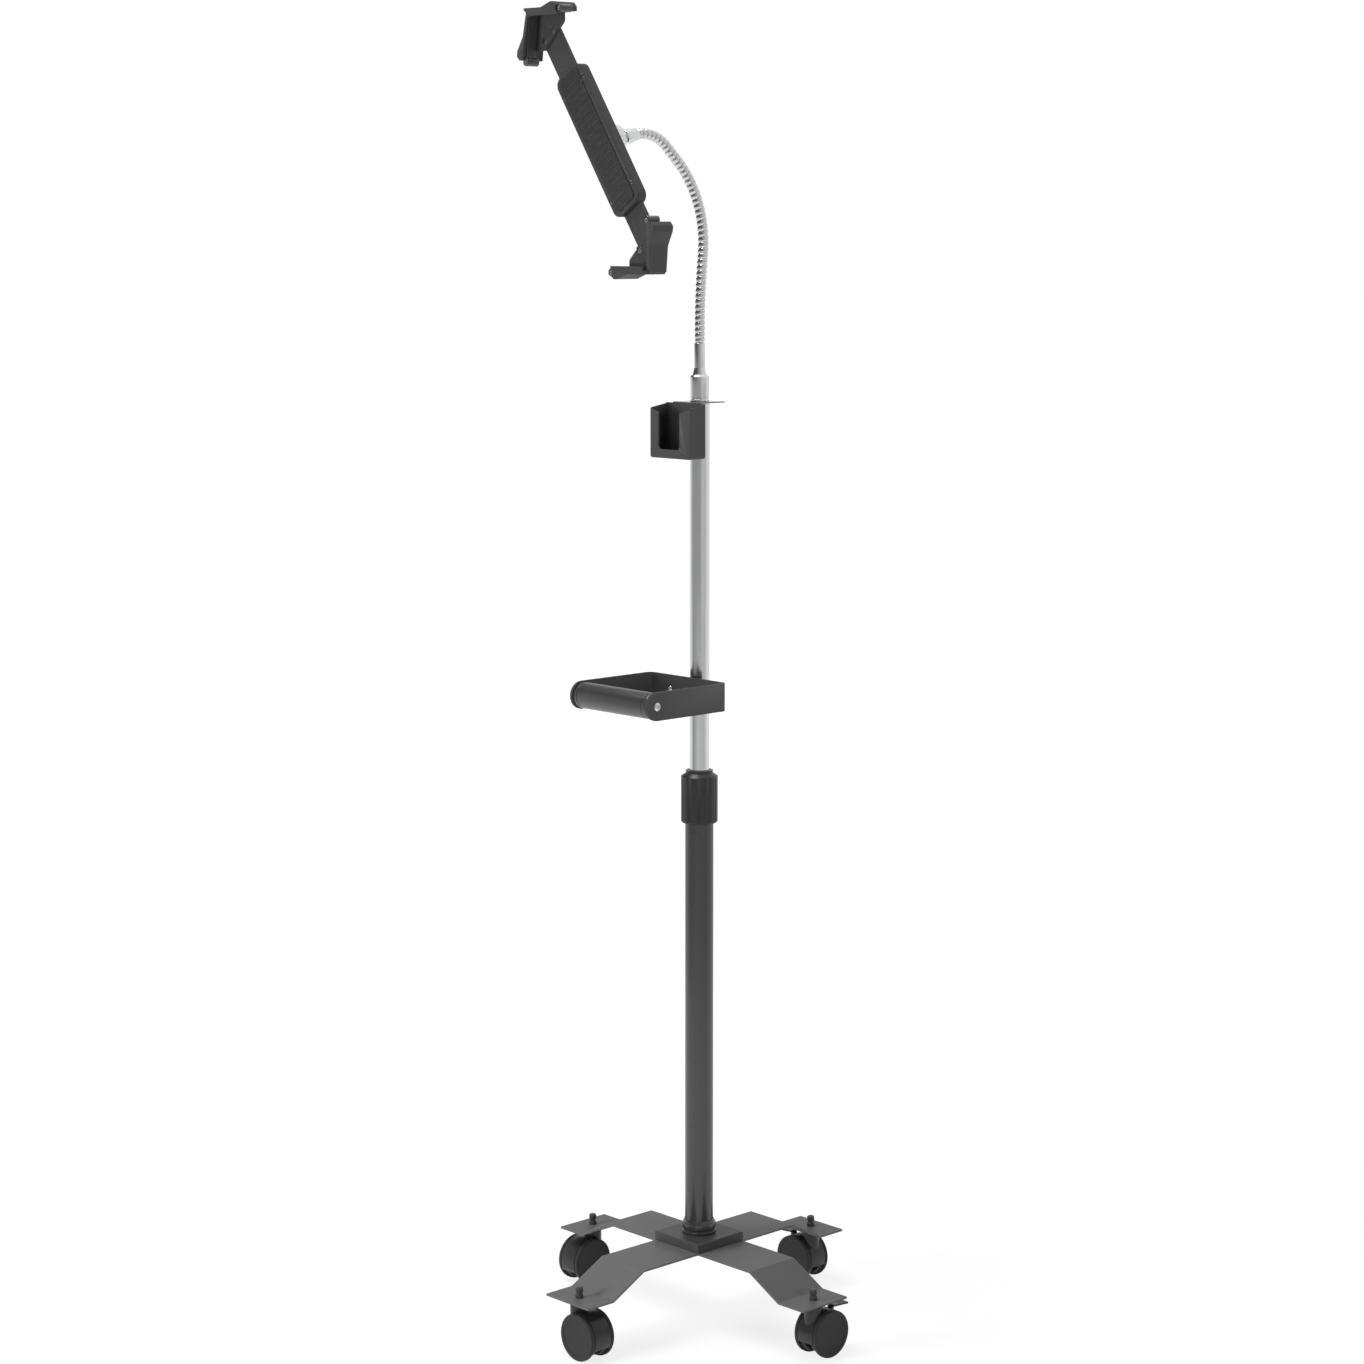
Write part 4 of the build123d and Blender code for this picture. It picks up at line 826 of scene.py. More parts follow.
print("building the ball joint")
ball = Settings(radius=8.5, neck=2.6, neckFoot=8.2, neckStart=9.5, neckTop=15.0, ferruleWide=9.0,
                ferruleRadius=7.6, ferruleSlim=6.5, ringRadius=15.6, ringFront=5.6, ringLip=2.0, lipStart=3.2,
                mouth=7.7, flare=0.9, flareDepth=1.2, bore=13.1, boreEnd=1.3, notches=16, stepsPerNotch=12,
                notchDepth=0.65, notchShare=0.55)
endPlace = axes(fromBall(0), (1, 0, 0), (0, *onCircle(1, droop)))
arc = [onCircle(ball.radius, math.radians(angle)) for angle in range(-84, 66, 6)]
profile = [(0, -ball.radius), *arc, (ball.neck + 0.3, ball.neckFoot, 0.8), (ball.neck, ball.neckStart, 1.0),
           (ball.neck, ball.neckTop), (0, ball.neckTop)]
addPiece("ballStud", placed(lathe(profile, 64), endPlace), "neck_head", "chrome", ["ball_stud"])
start, end = neck.ferruleStart, neck.ferruleStart + neck.ferruleLength
step = ball.ferruleRadius - ball.ferruleSlim
wide = start + ball.ferruleWide
form = lathe([(0, start), (ball.ferruleSlim, start, 0.3), (ball.ferruleRadius, start + step, 0.4),
              (ball.ferruleRadius, wide, 0.4), (ball.ferruleSlim, wide + step, 0.4),
              (ball.ferruleSlim, end, 0.5), (ferrule.bore, end, 0.3), (ferrule.bore, end - ferrule.seat),
              (0, end - ferrule.seat)], 96)
addPiece("upperFerrule", placed(form, endPlace), "neck_head", "chrome", ["upper_ferrule"])


def knurledRing():
    size = ball
    tip = size.lipStart + size.ringLip
    half = size.stepsPerNotch / 2

    def reachAt(radius, height, k):
        if radius <= size.ringRadius - 0.7:
            return radius
        share = abs(k % size.stepsPerNotch - half) / half
        return radius - size.notchDepth * max(0, 1 - (share / size.notchShare) ** 2)

    profile = roundCorners([(size.bore, -size.ringFront, 0.3), (size.ringRadius, -size.ringFront, 0.6),
                            (size.ringRadius, tip - size.ringLip / 2, 0.6),
                            (size.ringRadius - size.ringLip, tip, 0.4), (size.mouth + size.flare, tip, 0.4),
                            (size.mouth, tip - size.flareDepth, 0.3), (size.mouth + 0.4, size.lipStart),
                            (size.bore, size.boreEnd)])
    return shapedTurn(profile, size.notches * size.stepsPerNotch, reachAt)


addPiece("lockRing", placed(knurledRing(), alongY(*fromBall(0))), "lock", "chrome", ["lock_ring"])

# Holder, laid out along the seat's diagonal

print("building the holder")
seat = Settings(halfWidth=85.0, halfHeight=125.5, middle=1246.0, back=142.5, depth=14.5)
holder = Settings(halfLength=82.0, halfWidth=20.0, round=9.0, depth=10.0, cover=2.0, pad=1.5, padMargin=5.0,
                  panelLong=14, panelWide=5, panelRound=5, panelDepth=0.7, bossRadius=13.0, bossTop=24.0,
                  bossFoot=2.5, bossBore=10.4, screwReach=62.0, screwOffset=17.2, screwHead=2.2, screwHole=2.5,
                  ribs=9, ribPitch=7.2, ribHalf=0.5, ribInset=3, armHalf=14.0, armSheet=3.2, armEnd=129.976,
                  armChamfer=5.0, armInner=40.0, blockStart=117.976, gap=0.3, slotFrom=-33.3, slotTo=41.3,
                  slotHalf=9.25, troughFrom=96, troughTo=114, troughHalf=4.5, troughRound=4.4,
                  clawScrewPlace=125.476, clawScrewSide=8.0, clawScrewHole=1.6)
diagonal = math.hypot(seat.halfWidth, seat.halfHeight)
tilt, rise = seat.halfWidth / diagonal, seat.halfHeight / diagonal
holderPlace = axes((0, -seat.back, seat.middle), (-tilt, 0, rise), (0, 1, 0))
size = holder
coverFront = size.pad
front = coverFront + size.cover
back = front + size.depth
layerFront = front + size.gap
layerMiddle = layerFront + size.armSheet
layerBack = layerMiddle + size.gap
layerEnd = layerBack + size.armSheet


def holderPlate(inLength, inWidth, radius, low, high):
    # the holder's outline drawn in from its ends and its sides
    length, width = holder.halfLength - inLength, holder.halfWidth - inWidth
    return slab(rectangle(-length, length, -width, width, radius, step=10), low, high)


channel = size.armHalf + size.gap
end = size.halfLength + 2
body = holderPlate(0, 0, size.round, front, back)
body = combine(body, slab(rectangle(0, end, -channel, channel), front - 1, layerMiddle + size.gap))
body = combine(body, slab(rectangle(-end, 0, -channel, channel), layerBack - size.gap, layerEnd + size.gap))
body = combine(body, holderPlate(size.panelLong, size.panelWide, size.panelRound, back - size.panelDepth,
                                 back + 1))
foot = size.bossRadius + size.bossFoot
boss = lathe([(0, back - 2), (foot, back - 2), (foot, back - 0.7, 0.3), (size.bossRadius, back + 1.6, 1.4),
              (size.bossRadius, size.bossTop, 0.5), (size.bossBore, size.bossTop, 0.3),
              (size.bossBore, size.bossTop - 4), (0, size.bossTop - 8)], 72)
addPiece("rearHousing", placed(union(body, boss), holderPlace), "holder", "clawMoulding", ["rear_housing"],
         bevel=0.7, slices=3, sharp=40)


def recessed(head, depth, arm, width, face):
    # screw head that faces -Z, with a cross recess cut into its face
    drive = placed(crossDrive(depth, arm, width, 0), Matrix.Rotation(math.pi, 4, "X"))
    return combine(head, placed(drive, shift(0, 0, face)))


cover = holderPlate(0, 0, size.round, coverFront, front - 0.12)
for sideX in (-1, 1):
    for sideY in (-1, 1):
        spot = shift(sideX * size.screwReach, sideY * size.screwOffset, coverFront)
        cover = combine(cover, placed(rod(size.screwHole, -2, 1.2, 32), spot))
        head = lathe([(0, 0.15), (size.screwHead, 0.15, 0.35), (size.screwHead, 1.2), (0, 1.2)], 40)
        head = recessed(head, 0.8, 1.3, 0.28, 0.15)
        name = "coverScrew" + ("Upper" if sideX > 0 else "Lower") + ("Outer" if sideY > 0 else "Inner")
        addPiece(name, placed(head, holderPlace @ spot @ turnZ(20 * sideX + 35 * sideY)), "holder",
                 "zinc_steel", ["cover_screws"] if sideX > 0 and sideY > 0 else [], sharp=30)
addPiece("frontCover", placed(cover, holderPlace), "holder", "clawMoulding", ["front_cover"], bevel=0.5,
         slices=3, sharp=40)

margin = size.padMargin
pad = holderPlate(margin, margin, size.round - margin, 0, coverFront)
reach = size.halfWidth - margin - size.ribInset
for number in range(-size.ribs, size.ribs + 1):
    middle = number * size.ribPitch
    groove = rectangle(middle - size.ribHalf, middle + size.ribHalf, -reach, reach, 0.4)
    pad = combine(pad, slab(groove, -1, 0.5))
addPiece("coverPad", placed(pad, holderPlace), "holder", "grip_rubber", ["cover_pad"], bevel=0.3, slices=2)


def clawScrewSpot(side):
    return shift(holder.clawScrewPlace, side * holder.clawScrewSide, 0)


def armBar(low, high, blockLow):
    # flat bar with its rack slot, and a thicker block at the end that the claw sits on
    size = holder
    inset = size.armEnd - size.armChamfer
    width = size.armHalf
    narrow = width - size.armChamfer
    corners = [(-size.armInner, -width, 0.5), (inset, -width, 1.0), (size.armEnd, -narrow, 1.0),
               (size.armEnd, narrow, 1.0), (inset, width, 1.0), (-size.armInner, width, 0.5)]
    bar = slab(roundCorners(corners), low, high)
    if blockLow < low:
        end = [(max(x, size.blockStart), y, radius) for x, y, radius in corners]
        bar = union(bar, slab(roundCorners(end), blockLow, low + 0.5))
    slot = rectangle(size.slotFrom, size.slotTo, -size.slotHalf, size.slotHalf, 1.0)
    bar = combine(bar, slab(slot, low - 1, high + 1))
    for side in (-1, 1):
        hole = rod(size.clawScrewHole, blockLow - 1, high + 1, 24)
        bar = combine(bar, placed(hole, clawScrewSpot(side)))
    trough = rectangle(size.troughFrom, size.troughTo, -size.troughHalf, size.troughHalf, size.troughRound)
    return combine(bar, slab(trough, high - 0.5, high + 1))


for tag, low, high, turn, body in (("upper", layerFront, layerMiddle, 0, "claw_up"),
                                   ("lower", layerBack, layerEnd, 180, "claw_down")):
    addPiece("arm" + tag.capitalize(), placed(armBar(low, high, layerFront), holderPlace @ turnZ(turn)), body,
             "black_steel", ["arm_" + tag], bevel=0.35, slices=2)

knob = Settings(place=50.0, gap=0.5, height=10.0, radius=10.5, lobes=6, stepsPerLobe=24, lobeRadius=2.6,
                screw=2.5, dish=1.2, dishRadius=5.6)


def lobedKnob():
    # thumb knob with six scallops, a rounded top and a shallow dish
    size = knob
    low = back + size.gap
    high = low + size.height
    segments = size.lobes * size.stepsPerLobe
    hub = size.radius + size.lobeRadius / 2

    def reachAt(radius, height, k):
        share = max(0, (radius - size.dishRadius - 1) / (size.radius - size.dishRadius - 1))
        off = (k % size.stepsPerLobe - size.stepsPerLobe / 2) * math.tau / segments
        inside = size.lobeRadius ** 2 - (hub * math.sin(off)) ** 2
        if inside <= 0:
            return radius
        return radius - (size.radius - min(size.radius, hub * math.cos(off) - math.sqrt(inside))) * share

    profile = roundCorners([(size.screw, low), (size.radius, low, 1.2), (size.radius, high, 2.6),
                            (size.dishRadius, high, 0.8), (size.dishRadius - 1.2, high - size.dish, 0.6),
                            (0.3, high - size.dish)], closed=False)
    return shapedTurn(profile, segments, reachAt, closed=False)


knobPlace = holderPlace @ shift(-knob.place, 0, 0)
addPiece("lockKnob", placed(lobedKnob(), knobPlace), "knob", "knob_plastic", ["lock_knob"], sharp=40)
tip = layerEnd + holder.gap
screw = lathe([(0, tip), (knob.screw - 0.4, tip, 0.1), (knob.screw, tip + 0.5, 0.1), (knob.screw, back + 2),
               (0, back + 2)], 32)
addPiece("knobScrew", placed(screw, knobPlace), "knob", "zinc_steel")

# Corner claws: x runs down the upright arm, y outward to the left and z to the rear

print("building the claws")
claw = Settings(corner=5.6, wall=5.4, hump=10.5, inner=1.6, wallEnd=22.0, humpStart=36.0, humpEnd=41.5,
                tip=45.5, tipOuter=6.0, lean=0.12, levelFront=16.6, cornerFront=12.0, tipFront=16.0,
                rear=11.0, hook=2.3, hookGap=0.3, floor=3.8, floorLong=36.0, floorEnd=8.0, linerSheet=1.4,
                linerRibs=5, linerPitch=2.0, linerRib=0.7, rollRadius=3.9, rollPlace=47.3, rollRear=1.0,
                rollPin=1.7, rollRing=2.7, rollRingDepth=1.2, rollGrooves=4, rollStart=3.2, rollPitch=2.9,
                rollGroove=0.25, screwHead=3.0, screwHeight=1.6, screwRadius=1.45, screwEnd=6.8)
clawPlace = axes((-seat.halfWidth, -seat.back, seat.middle + seat.halfHeight), (0, 0, -1), (0, 1, 0))
middle = shift(0, 0, seat.middle)
turnedRound = middle @ Matrix.Rotation(math.pi, 4, "Y") @ middle.inverted()


def upright(along, outward, *rest):
    return (along, outward + claw.lean * max(along, 0), *rest)


def level(along, outward, *rest):
    return (-outward, -along, *rest)


rollSpots = (("Side", (claw.rollPlace, claw.rollRadius)), ("Level", level(claw.rollPlace, claw.rollRadius)))


def clawArm(place, front):
    size = claw
    corners = [place(-size.corner, size.corner, 2.2), place(size.wallEnd, size.wall, 9.0),
               place((size.wallEnd + size.humpStart) / 2, (size.wall + size.hump) / 2),
               place(size.humpStart, size.hump, 4.0), place(size.humpEnd, size.hump, 3.0),
               place(size.tip, size.tipOuter, 1.4), place(size.tip, size.inner),
               place(-size.inner, size.inner)]
    return slab(roundCorners(corners, step=8), -front, size.rear)


def clawShell():
    size = claw
    start, end, front = -size.corner - 1, size.tip + 2, -size.tipFront
    slope = [(start, front - 1), (end, front - 1), (end, front + 0.01), (size.humpStart, front + 0.01),
             (0, -size.cornerFront), (start, -size.cornerFront)]
    side = combine(clawArm(upright, size.tipFront), placed(slab(slope, 0, 30), facingFront(0, 24, 0)))
    shell = union(side, clawArm(level, size.levelFront))
    inner, end = size.inner + 0.5, size.tip - 0.01
    lip = [level(0, -size.hook), level(end, -size.hook), level(end, inner), level(0, inner)]
    shell = union(shell, slab(lip, -size.levelFront + 0.01, -seat.depth - size.hookGap))
    floor = [(-inner, inner), upright(size.floorLong, inner), (size.floorLong, -size.floorEnd, 3),
             (size.floorEnd, -size.floorLong, 3), level(size.floorLong, inner)]
    shell = union(shell, slab(roundCorners(floor), 0, size.floor - 0.02))
    for _, (x, y) in rollSpots:
        seatCut = rod(size.rollRadius + 0.1, -size.levelFront - 1, size.rollRear + 0.1, 48)
        shell = combine(shell, placed(seatCut, shift(x, y, 0)))
    for side in (-1, 1):
        spot = clawPlace.inverted() @ holderPlace @ clawScrewSpot(side)
        shell = combine(shell, placed(rod(size.screwHead + 0.1, -1, size.screwHeight, 40), spot))
    return shell


def linerStrip(arm, start):
    # rubber strip along one arm of the claw, with ribs along its inner face
    size = claw
    end = size.rollPlace - size.rollRadius
    corners = [arm(start, 0.02), arm(end + 0.8, 0.02), arm(end + 0.8, size.linerSheet),
               arm(start, size.linerSheet)]
    strip = slab(corners, -size.cornerFront, -0.05)
    cut = [arm(-4, -0.5), arm(end + 2, -0.5), arm(end + 2, 0.35), arm(-4, 0.35)]
    for number in range(1, size.linerRibs + 1):
        low = -size.cornerFront + number * size.linerPitch - size.linerRib / 2
        strip = combine(strip, slab(cut, low, low + size.linerRib))
    return strip


def rollForms():
    # grooved roll, bored for its pin, and the pin with its ring at the front
    size = claw
    reach, low, high = size.rollRadius, -seat.depth, size.rollRear
    ringEnd = low + size.rollRingDepth
    profile = [(size.rollRing, ringEnd), (size.rollRing, low, 0.2), (reach, low, 0.6)]
    for number in range(size.rollGrooves):
        ring = low + size.rollStart + number * size.rollPitch
        floor = reach - size.rollGroove
        profile += [(reach, ring, 0.2), (floor, ring + 0.3, 0.1), (floor, ring + 0.6, 0.1),
                    (reach, ring + 0.9, 0.2)]
    profile += [(reach, high, 0.8), (size.rollPin, high), (size.rollPin, ringEnd)]
    hollow = size.rollPin * 0.75
    pin = lathe([(0, ringEnd + 0.2), (hollow, ringEnd + 0.2, 0.1), (hollow, low + 0.1, 0.2),
                 (size.rollRing, low + 0.1, 0.4), (size.rollRing, ringEnd), (size.rollPin, ringEnd),
                 (size.rollPin, high), (0, high)], 40)
    return lathe(profile, 56, closed=True), pin


def clawScrew():
    size = claw
    foot = size.screwHeight - 0.02
    head = lathe([(0, 0.1), (size.screwHead - 0.3, 0.1, 0.3), (size.screwHead, 0.6, 0.2),
                  (size.screwHead, foot), (size.screwRadius, foot), (size.screwRadius, size.screwEnd),
                  (0, size.screwEnd)], 40)
    return recessed(head, 0.9, 1.6, 0.32, 0.1)


for name, turn, body in (("Upper", Matrix.Identity(4), "claw_up"), ("Lower", turnedRound, "claw_down")):
    tag = name.lower()
    place = turn @ clawPlace
    addPiece("claw" + name, placed(clawShell(), place), body, "clawMoulding", ["claw_" + tag], bevel=0.45,
             slices=2, sharp=28)
    addPiece("clawLiner" + name, placed(linerStrip(upright, -claw.linerSheet), place), body, "grip_rubber",
             ["claw_liner_" + tag], bevel=0.15, slices=2)
    addPiece("clawLinerLevel" + name, placed(linerStrip(level, 0.1), place), body, "grip_rubber", bevel=0.15,
             slices=2)
    for part, (x, y) in rollSpots:
        spot = place @ shift(x, y, 0)
        roll, pin = rollForms()
        addPiece("roll" + part + name, placed(roll, spot), body, "grip_rubber")
        addPiece("rollPin" + part + name, placed(pin, spot), body, "zinc_steel")
    for side, part in ((-1, "Inner"), (1, "Outer")):
        spot = turn @ holderPlace @ clawScrewSpot(side) @ turnZ(25 * side)
        addPiece("clawScrew" + part + name, placed(clawScrew(), spot), body, "zinc_steel",
                 ["claw_screws_" + tag] if side > 0 else [], sharp=30)

# Casters: their frame has the stem on Z and the wheels trailing towards +X

print("building the casters")
caster = Settings(reach=171.5, trail=12.5, wheelRadius=25.0, wheelInner=4.6, wheelFlange=11.4,
                  wheelOuter=15.6, wheelEdge=1.5, drumRadius=22.4, dish=0.7, dishRadius=20.5, hubRadius=6.5,
                  rim=3.4, face=2.6, axle=3.0, bearingGap=0.08, hoodInner=22.9, hoodOuter=25.1,
                  hoodHalf=11.0, webHalf=4.1, webRadius=14.0, rearAngle=-24, frontAngle=196, fanSteps=11,
                  fanReach=60, neckRadius=9.6, neckTop=56.3, shoulder=56.6, flangeCorner=7.2, footLow=59.6,
                  footTop=61.6, pin=5.0, pinLow=45.6, shank=4.3, stud=4.0, waist=3.2, waistLow=65.6,
                  waistTop=68.2, studTop=73.4)
pedal = Settings(half=6.0, sheet=2.2, root=24.0, reach=46.5, rootTop=51.8, outerTop=50.2, legDepth=4.2,
                 legHalf=3.0, legFoot=40.5, gap=0.7, pin=1.5, pinPlace=26.1, pinHeight=44.0, grooves=5,
                 grooveStart=3.2, groovePitch=2.6, grooveHalf=0.5, grooveInset=1.2, grooveDepth=0.35,
                 grooveRise=0.18)
wheelCentre = alongY(caster.trail, 0, caster.wheelRadius)
pedalCentre = alongY(pedal.pinPlace, 0, pedal.pinHeight)


def wheelForm():
    # one wheel about Z, its inner face at wheelInner and its outer face up
    size = caster
    bore = size.axle + size.bearingGap
    web = size.wheelOuter - size.face
    inner = size.drumRadius - size.rim
    dish = size.wheelOuter - size.dish
    return lathe([(bore, size.wheelInner), (size.hubRadius, size.wheelInner, 0.4), (size.hubRadius, web, 0.8),
                  (inner, web, 0.8), (inner, size.wheelInner, 0.3), (size.drumRadius, size.wheelInner, 0.4),
                  (size.drumRadius, size.wheelFlange, 0.3), (size.wheelRadius, size.wheelFlange, 0.6),
                  (size.wheelRadius, size.wheelOuter, size.wheelEdge),
                  (size.dishRadius, size.wheelOuter, 0.8), (size.dishRadius - size.dish, dish, 0.5),
                  (0, dish), (0, web), (bore, web)], 96)


def hoodForm(braked):
    size = caster
    half, web, reach = size.hoodHalf, size.webHalf, size.neckRadius
    hood = lathe([(0, -half), (size.hoodOuter, -half, 1.1), (size.hoodOuter, half, 1.1), (0, half)], 120,
                 step=20)
    # wheelCentre turns its own Y to face down, so the angles are mirrored
    span = size.frontAngle - size.rearAngle
    fan = [(0, 0)] + [onCircle(size.fanReach, -math.radians(size.rearAngle + span * number / size.fanSteps))
                      for number in range(size.fanSteps + 1)]
    hood = combine(hood, slab(fan, -half - 2, half + 2), "INTERSECT")
    hood = union(hood, lathe([(0, -web), (size.webRadius, -web, 0.4), (size.webRadius, web, 0.4),
                              (0, web)], 72))
    hood = placed(hood, wheelCentre)
    hood = union(hood, lathe([(0, size.wheelRadius), (reach, size.wheelRadius),
                              (reach, size.neckTop - 1.6, 0.4), (reach - 1.4, size.neckTop, 0.5),
                              (0, size.neckTop)], 72))
    for side in (-1, 1):
        low, high = sorted((side * web, side * (half + 3)))
        hood = combine(hood, placed(rod(size.hoodInner, low, high, 120), wheelCentre))
    hood = combine(hood, rod(size.pin + size.bearingGap, size.pinLow - 0.3, 60, 40))
    hood = combine(hood, placed(rod(size.axle + 0.05, -8, 8, 40), wheelCentre))
    if braked:
        wide = pedal.legHalf + 0.3
        gate = rectangle(pedal.root - pedal.gap, pedal.root + pedal.legDepth + pedal.gap, -wide, wide)
        hood = combine(hood, slab(gate, pedal.legFoot - pedal.gap, 60))
        hood = combine(hood, placed(rod(pedal.pin + size.bearingGap, -8, 8, 24), pedalCentre))
    return hood


def stemForm():
    size = caster
    shoulder, flange = size.shoulder, size.flangeCorner
    stem = lathe([(0, size.pinLow), (size.pin, size.pinLow, 0.5), (size.pin, shoulder + 0.2),
                  (size.shank, shoulder + 0.2), (size.shank, size.footTop), (size.stud, size.footTop),
                  (size.stud, size.waistLow, 0.4), (size.waist, size.waistLow + 0.5, 0.3),
                  (size.waist, size.waistTop - 0.5, 0.3), (size.stud, size.waistTop, 0.4),
                  (size.stud, size.studTop - 1.1, 0.5), (size.stud - 1.0, size.studTop, 0.3),
                  (0, size.studTop)], 48)
    rounder = lathe([(0, shoulder - 0.01), (flange - 0.7, shoulder - 0.01), (flange + 0.3, shoulder + 0.8),
                     (flange + 0.3, size.footLow + 1), (0, size.footLow + 1)], 48)
    plate = slab(hexOutline(flange), shoulder, size.footLow - 0.02)
    return union(stem, combine(plate, rounder, "INTERSECT"))


def pedalForm():
    size = pedal
    tread = roundCorners([(size.root, size.rootTop, 1.0), (size.root, size.rootTop - size.sheet),
                          (size.reach, size.outerTop - size.sheet, 0.9), (size.reach, size.outerTop, 0.9)])
    plate = placed(slab(tread, 0, 2 * size.half), facingFront(0, size.half, 0))
    wide = size.half - size.grooveInset
    for number in range(size.grooves):
        x = size.reach - size.grooveStart - number * size.groovePitch
        cut = rectangle(x - size.grooveHalf, x + size.grooveHalf, -wide, wide)
        plate = combine(plate, slab(cut, size.outerTop - size.grooveDepth + number * size.grooveRise, 60))
    start, end, wide = size.root + 0.02, size.root + size.legDepth, size.legHalf
    leg = roundCorners([(start, -wide, 0.4), (end, -wide, 0.8), (end, wide, 0.8), (start, wide, 0.4)])
    plate = union(plate, slab(leg, size.legFoot, size.rootTop - size.sheet / 2))
    return union(plate, placed(rod(size.pin, -caster.webHalf, caster.webHalf, 24), pedalCentre))


for quarter, (name, braked) in enumerate((("front", False), ("right", True), ("back", True), ("left", False))):
    place = turnZ(90 * quarter) @ shift(0, -caster.reach, 0)
    label = name.capitalize()
    addPiece("casterStem" + label, placed(stemForm(), place), "base", "black_steel", ["caster_stem_" + name],
             sharp=30)
    addPiece("casterHood" + label, placed(hoodForm(braked), place), "caster_" + name, "black_plastic",
             ["caster_hood_" + name], bevel=0.3, slices=2, sharp=28)
    for side, letter in ((1, "a"), (-1, "b")):
        wheel = placed(wheelForm(), place @ wheelCentre @ Matrix.Rotation(math.pi * (side < 0), 4, "X"))
        node = "wheel_" + letter + "_" + name
        addPiece("wheel" + letter.upper() + label, wheel, node, "wheel_plastic", [node])
    if braked:
        addPiece("brakePedal" + label, placed(pedalForm(), place), "brake_" + name, "black_plastic",
                 ["brake_pedal_" + name], bevel=0.3, slices=2, sharp=28)

# Studio, in metres

print("setting up the studio")
studio = Settings(ambient=0.09, floorShade=0.86, floorGlow=1.12, floorMix=0.72, floorHalf=40.0, floorFrom=0.4,
                  floorTo=2.2, wallRadius=1.5, wallLow=0.02, wallHigh=3.5, wallSteps=96, blendFrom=0.45,
                  blendTo=0.7, neckFrom=1.0, neckTo=1.1,
                  highTones=[(0.0, 0.95), (0.15, 0.95), (0.25, 0.4), (0.3, 0.35), (0.5, 0.35), (0.55, 0.45),
                             (0.6, 0.6), (0.68, 0.5), (0.75, 0.75), (1.0, 0.95)],
                  lowTones=[(0.0, 0.95), (0.2, 0.9), (0.3, 0.3), (0.45, 0.6), (0.65, 0.5), (0.77, 0.85),
                            (1.0, 0.95)],
                  neckTones=[(0.0, 0.95), (0.07, 0.25), (0.12, 0.1), (0.35, 0.08), (0.5, 0.4), (0.6, 0.65),
                             (0.75, 0.8), (1.0, 0.95)])
view = Settings(azimuth=46.362, distance=3.23954, height=1.16226, pitch=8.298, yaw=-0.323, lens=82.627,
                sensor=36.0)
lampKeys = ("power", "size", "place", "target", "spread", "glossy")
lamps = {
    "key": (80.0, 1.1, (-1.1, -3.0, 0.85), (0, 0, 0.7), 180, False),
    "side": (4.6, 0.9, (2.0, -0.3, 0.9), (0, 0, 0.82), 62, False),
    "top": (64.0, 1.5, (-0.5, -0.7, 3.3), (0, 0, 0.6), 180, True),
    "rear": (34.0, 1.4, (-1.9, 2.2, 1.3), (0, 0, 0.7), 180, False),
}


def seenRays(recipe):
    # 1 for what the camera sees directly, in a reflection or through glass
    camera = recipe.node("ShaderNodeLightPath")
    return camera + camera.sibling("Is Glossy Ray") + camera.sibling("Is Transmission Ray")


def stagePiece(name, points, faces, material):
    mesh = bpy.data.meshes.new(name)
    mesh.from_pydata(points, [], faces)
    mesh.materials.append(material)
    piece = bpy.data.objects.new(name, mesh)
    bpy.context.scene.collection.objects.link(piece)
    return piece


world = bpy.data.worlds.new("studioWorld")
bpy.context.scene.world = world
recipe = Recipe(world)
soft = recipe.glowing("ShaderNodeBackground", grey(1.0), studio.ambient)
white = recipe.glowing("ShaderNodeBackground", grey(1.0), 1.0)
recipe.close(recipe.mixed(seenRays(recipe), soft, white), "ShaderNodeOutputWorld")

recipe = Recipe(bpy.data.materials.new("paleFloor"))
place = recipe.node("ShaderNodeTexCoord", output="Object")
distance = recipe.node("ShaderNodeVectorMath", {"operation": "LENGTH"}, {0: place}, "Value")
fade = recipe.mapped(distance, studio.floorFrom, studio.floorTo, studio.floorMix)
paint = recipe.node("ShaderNodeBsdfDiffuse", sockets={"Color": grey(studio.floorShade)})
glow = recipe.glowing("ShaderNodeEmission", grey(1.0), studio.floorGlow)
reach = studio.floorHalf
stagePiece("floor", [(-reach, -reach, 0), (reach, -reach, 0), (reach, reach, 0), (-reach, reach, 0)],
           [(0, 1, 2, 3)], recipe.close(recipe.mixed(seenRays(recipe) * fade, paint, glow)))

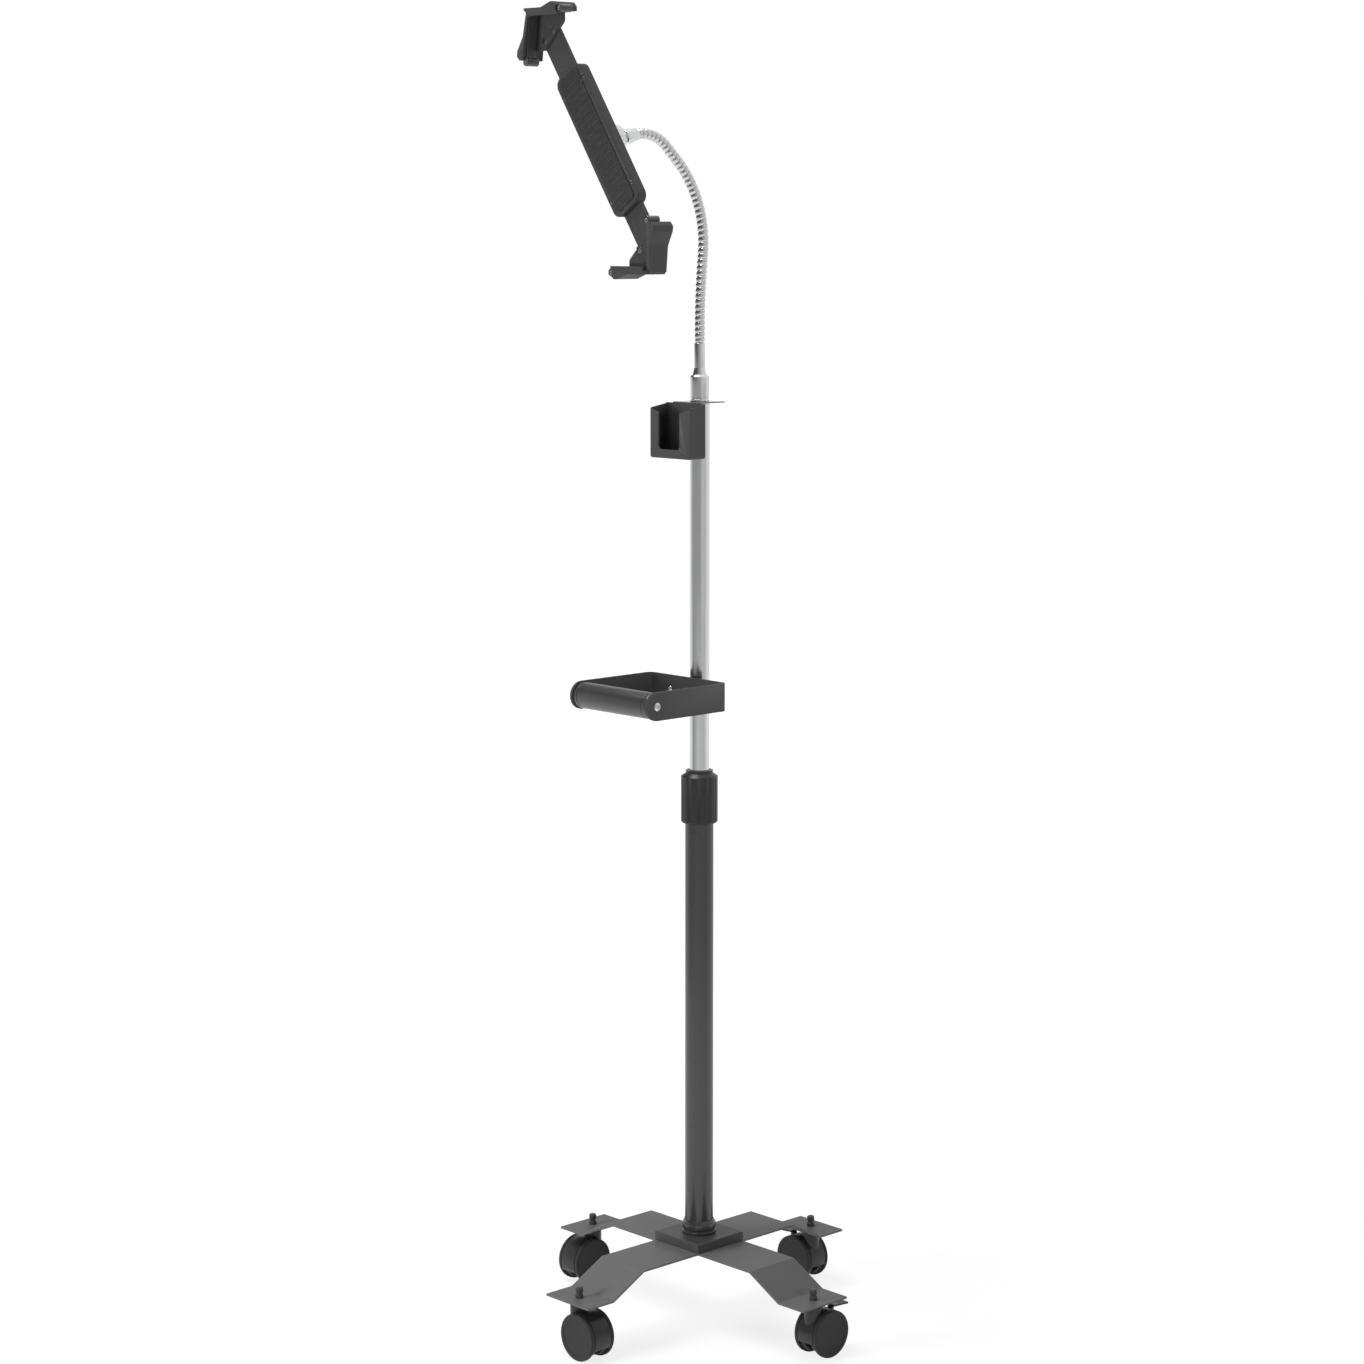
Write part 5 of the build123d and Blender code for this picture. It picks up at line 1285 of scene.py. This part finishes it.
# a round wall in bands of grey that only reflections see; its middle faces the camera's side
recipe = Recipe(bpy.data.materials.new("reflectorWall"))
place = recipe.node("ShaderNodeTexCoord", output="Object")
across = recipe.node("ShaderNodeSeparateXYZ", sockets={"Vector": place})
height = across.sibling("Z")
turn = across.math("ARCTAN2", across, across.sibling("Y") * -1) * (1 / math.tau) + 0.5
low, high, neckHigh = (recipe.ramp(turn, studio[key]) for key in ("lowTones", "highTones", "neckTones"))
tone = recipe.blend(recipe.mapped(height, studio.blendFrom, studio.blendTo), low, high)
tone = recipe.blend(recipe.mapped(height, studio.neckFrom, studio.neckTo), tone, neckHigh)
points, faces = [], []
for k in range(studio.wallSteps):
    turn = math.tau * k / studio.wallSteps
    x, y = studio.wallRadius * math.sin(turn), -studio.wallRadius * math.cos(turn)
    points += [(x, y, studio.wallLow), (x, y, studio.wallHigh)]
    follow = 2 * ((k + 1) % studio.wallSteps)
    faces.append((2 * k, follow, follow + 1, 2 * k + 1))
wall = stagePiece("reflectorWall", points, faces, recipe.close(recipe.glowing("ShaderNodeEmission", tone, 1.0)))
wall.rotation_euler = (0, 0, math.radians(view.azimuth))
for rays in ("camera", "diffuse", "transmission", "volume_scatter", "shadow"):
    setattr(wall, "visible_" + rays, False)

for name, row in lamps.items():
    look = Settings(zip(lampKeys, row))
    light = bpy.data.lights.new(name + "Lamp", "AREA")
    light.energy = look.power
    light.size = look.size
    light.spread = math.radians(look.spread)
    lamp = bpy.data.objects.new(name + "Lamp", light)
    bpy.context.scene.collection.objects.link(lamp)
    lamp.location = look.place
    aim = Vector(look.target) - Vector(look.place)
    lamp.rotation_euler = aim.to_track_quat("-Z", "Y").to_euler()
    lamp.visible_glossy = look.glossy
    lamp.visible_camera = False

azimuth, pitch, yaw = (math.radians(view[key]) for key in ("azimuth", "pitch", "yaw"))
ahead = Vector((-math.sin(azimuth), math.cos(azimuth), 0))
side = Vector((math.cos(azimuth), math.sin(azimuth), 0))
up = Vector((0, 0, 1))
flat = ahead * math.cos(yaw) + side * math.sin(yaw)
right = side * math.cos(yaw) - ahead * math.sin(yaw)
forward = flat * math.cos(pitch) - up * math.sin(pitch)
above = up * math.cos(pitch) + flat * math.sin(pitch)
cameraData = bpy.data.cameras.new("photoCamera")
cameraData.lens = view.lens
cameraData.sensor_width = view.sensor
camera = bpy.data.objects.new("photoCamera", cameraData)
bpy.context.scene.collection.objects.link(camera)
pose = Matrix((right, above, -forward)).transposed().to_4x4()
pose.translation = Vector((view.distance * math.sin(azimuth), -view.distance * math.cos(azimuth), view.height))
camera.matrix_world = pose
bpy.context.scene.camera = camera
bpy.context.scene.view_settings.view_transform = "Standard"
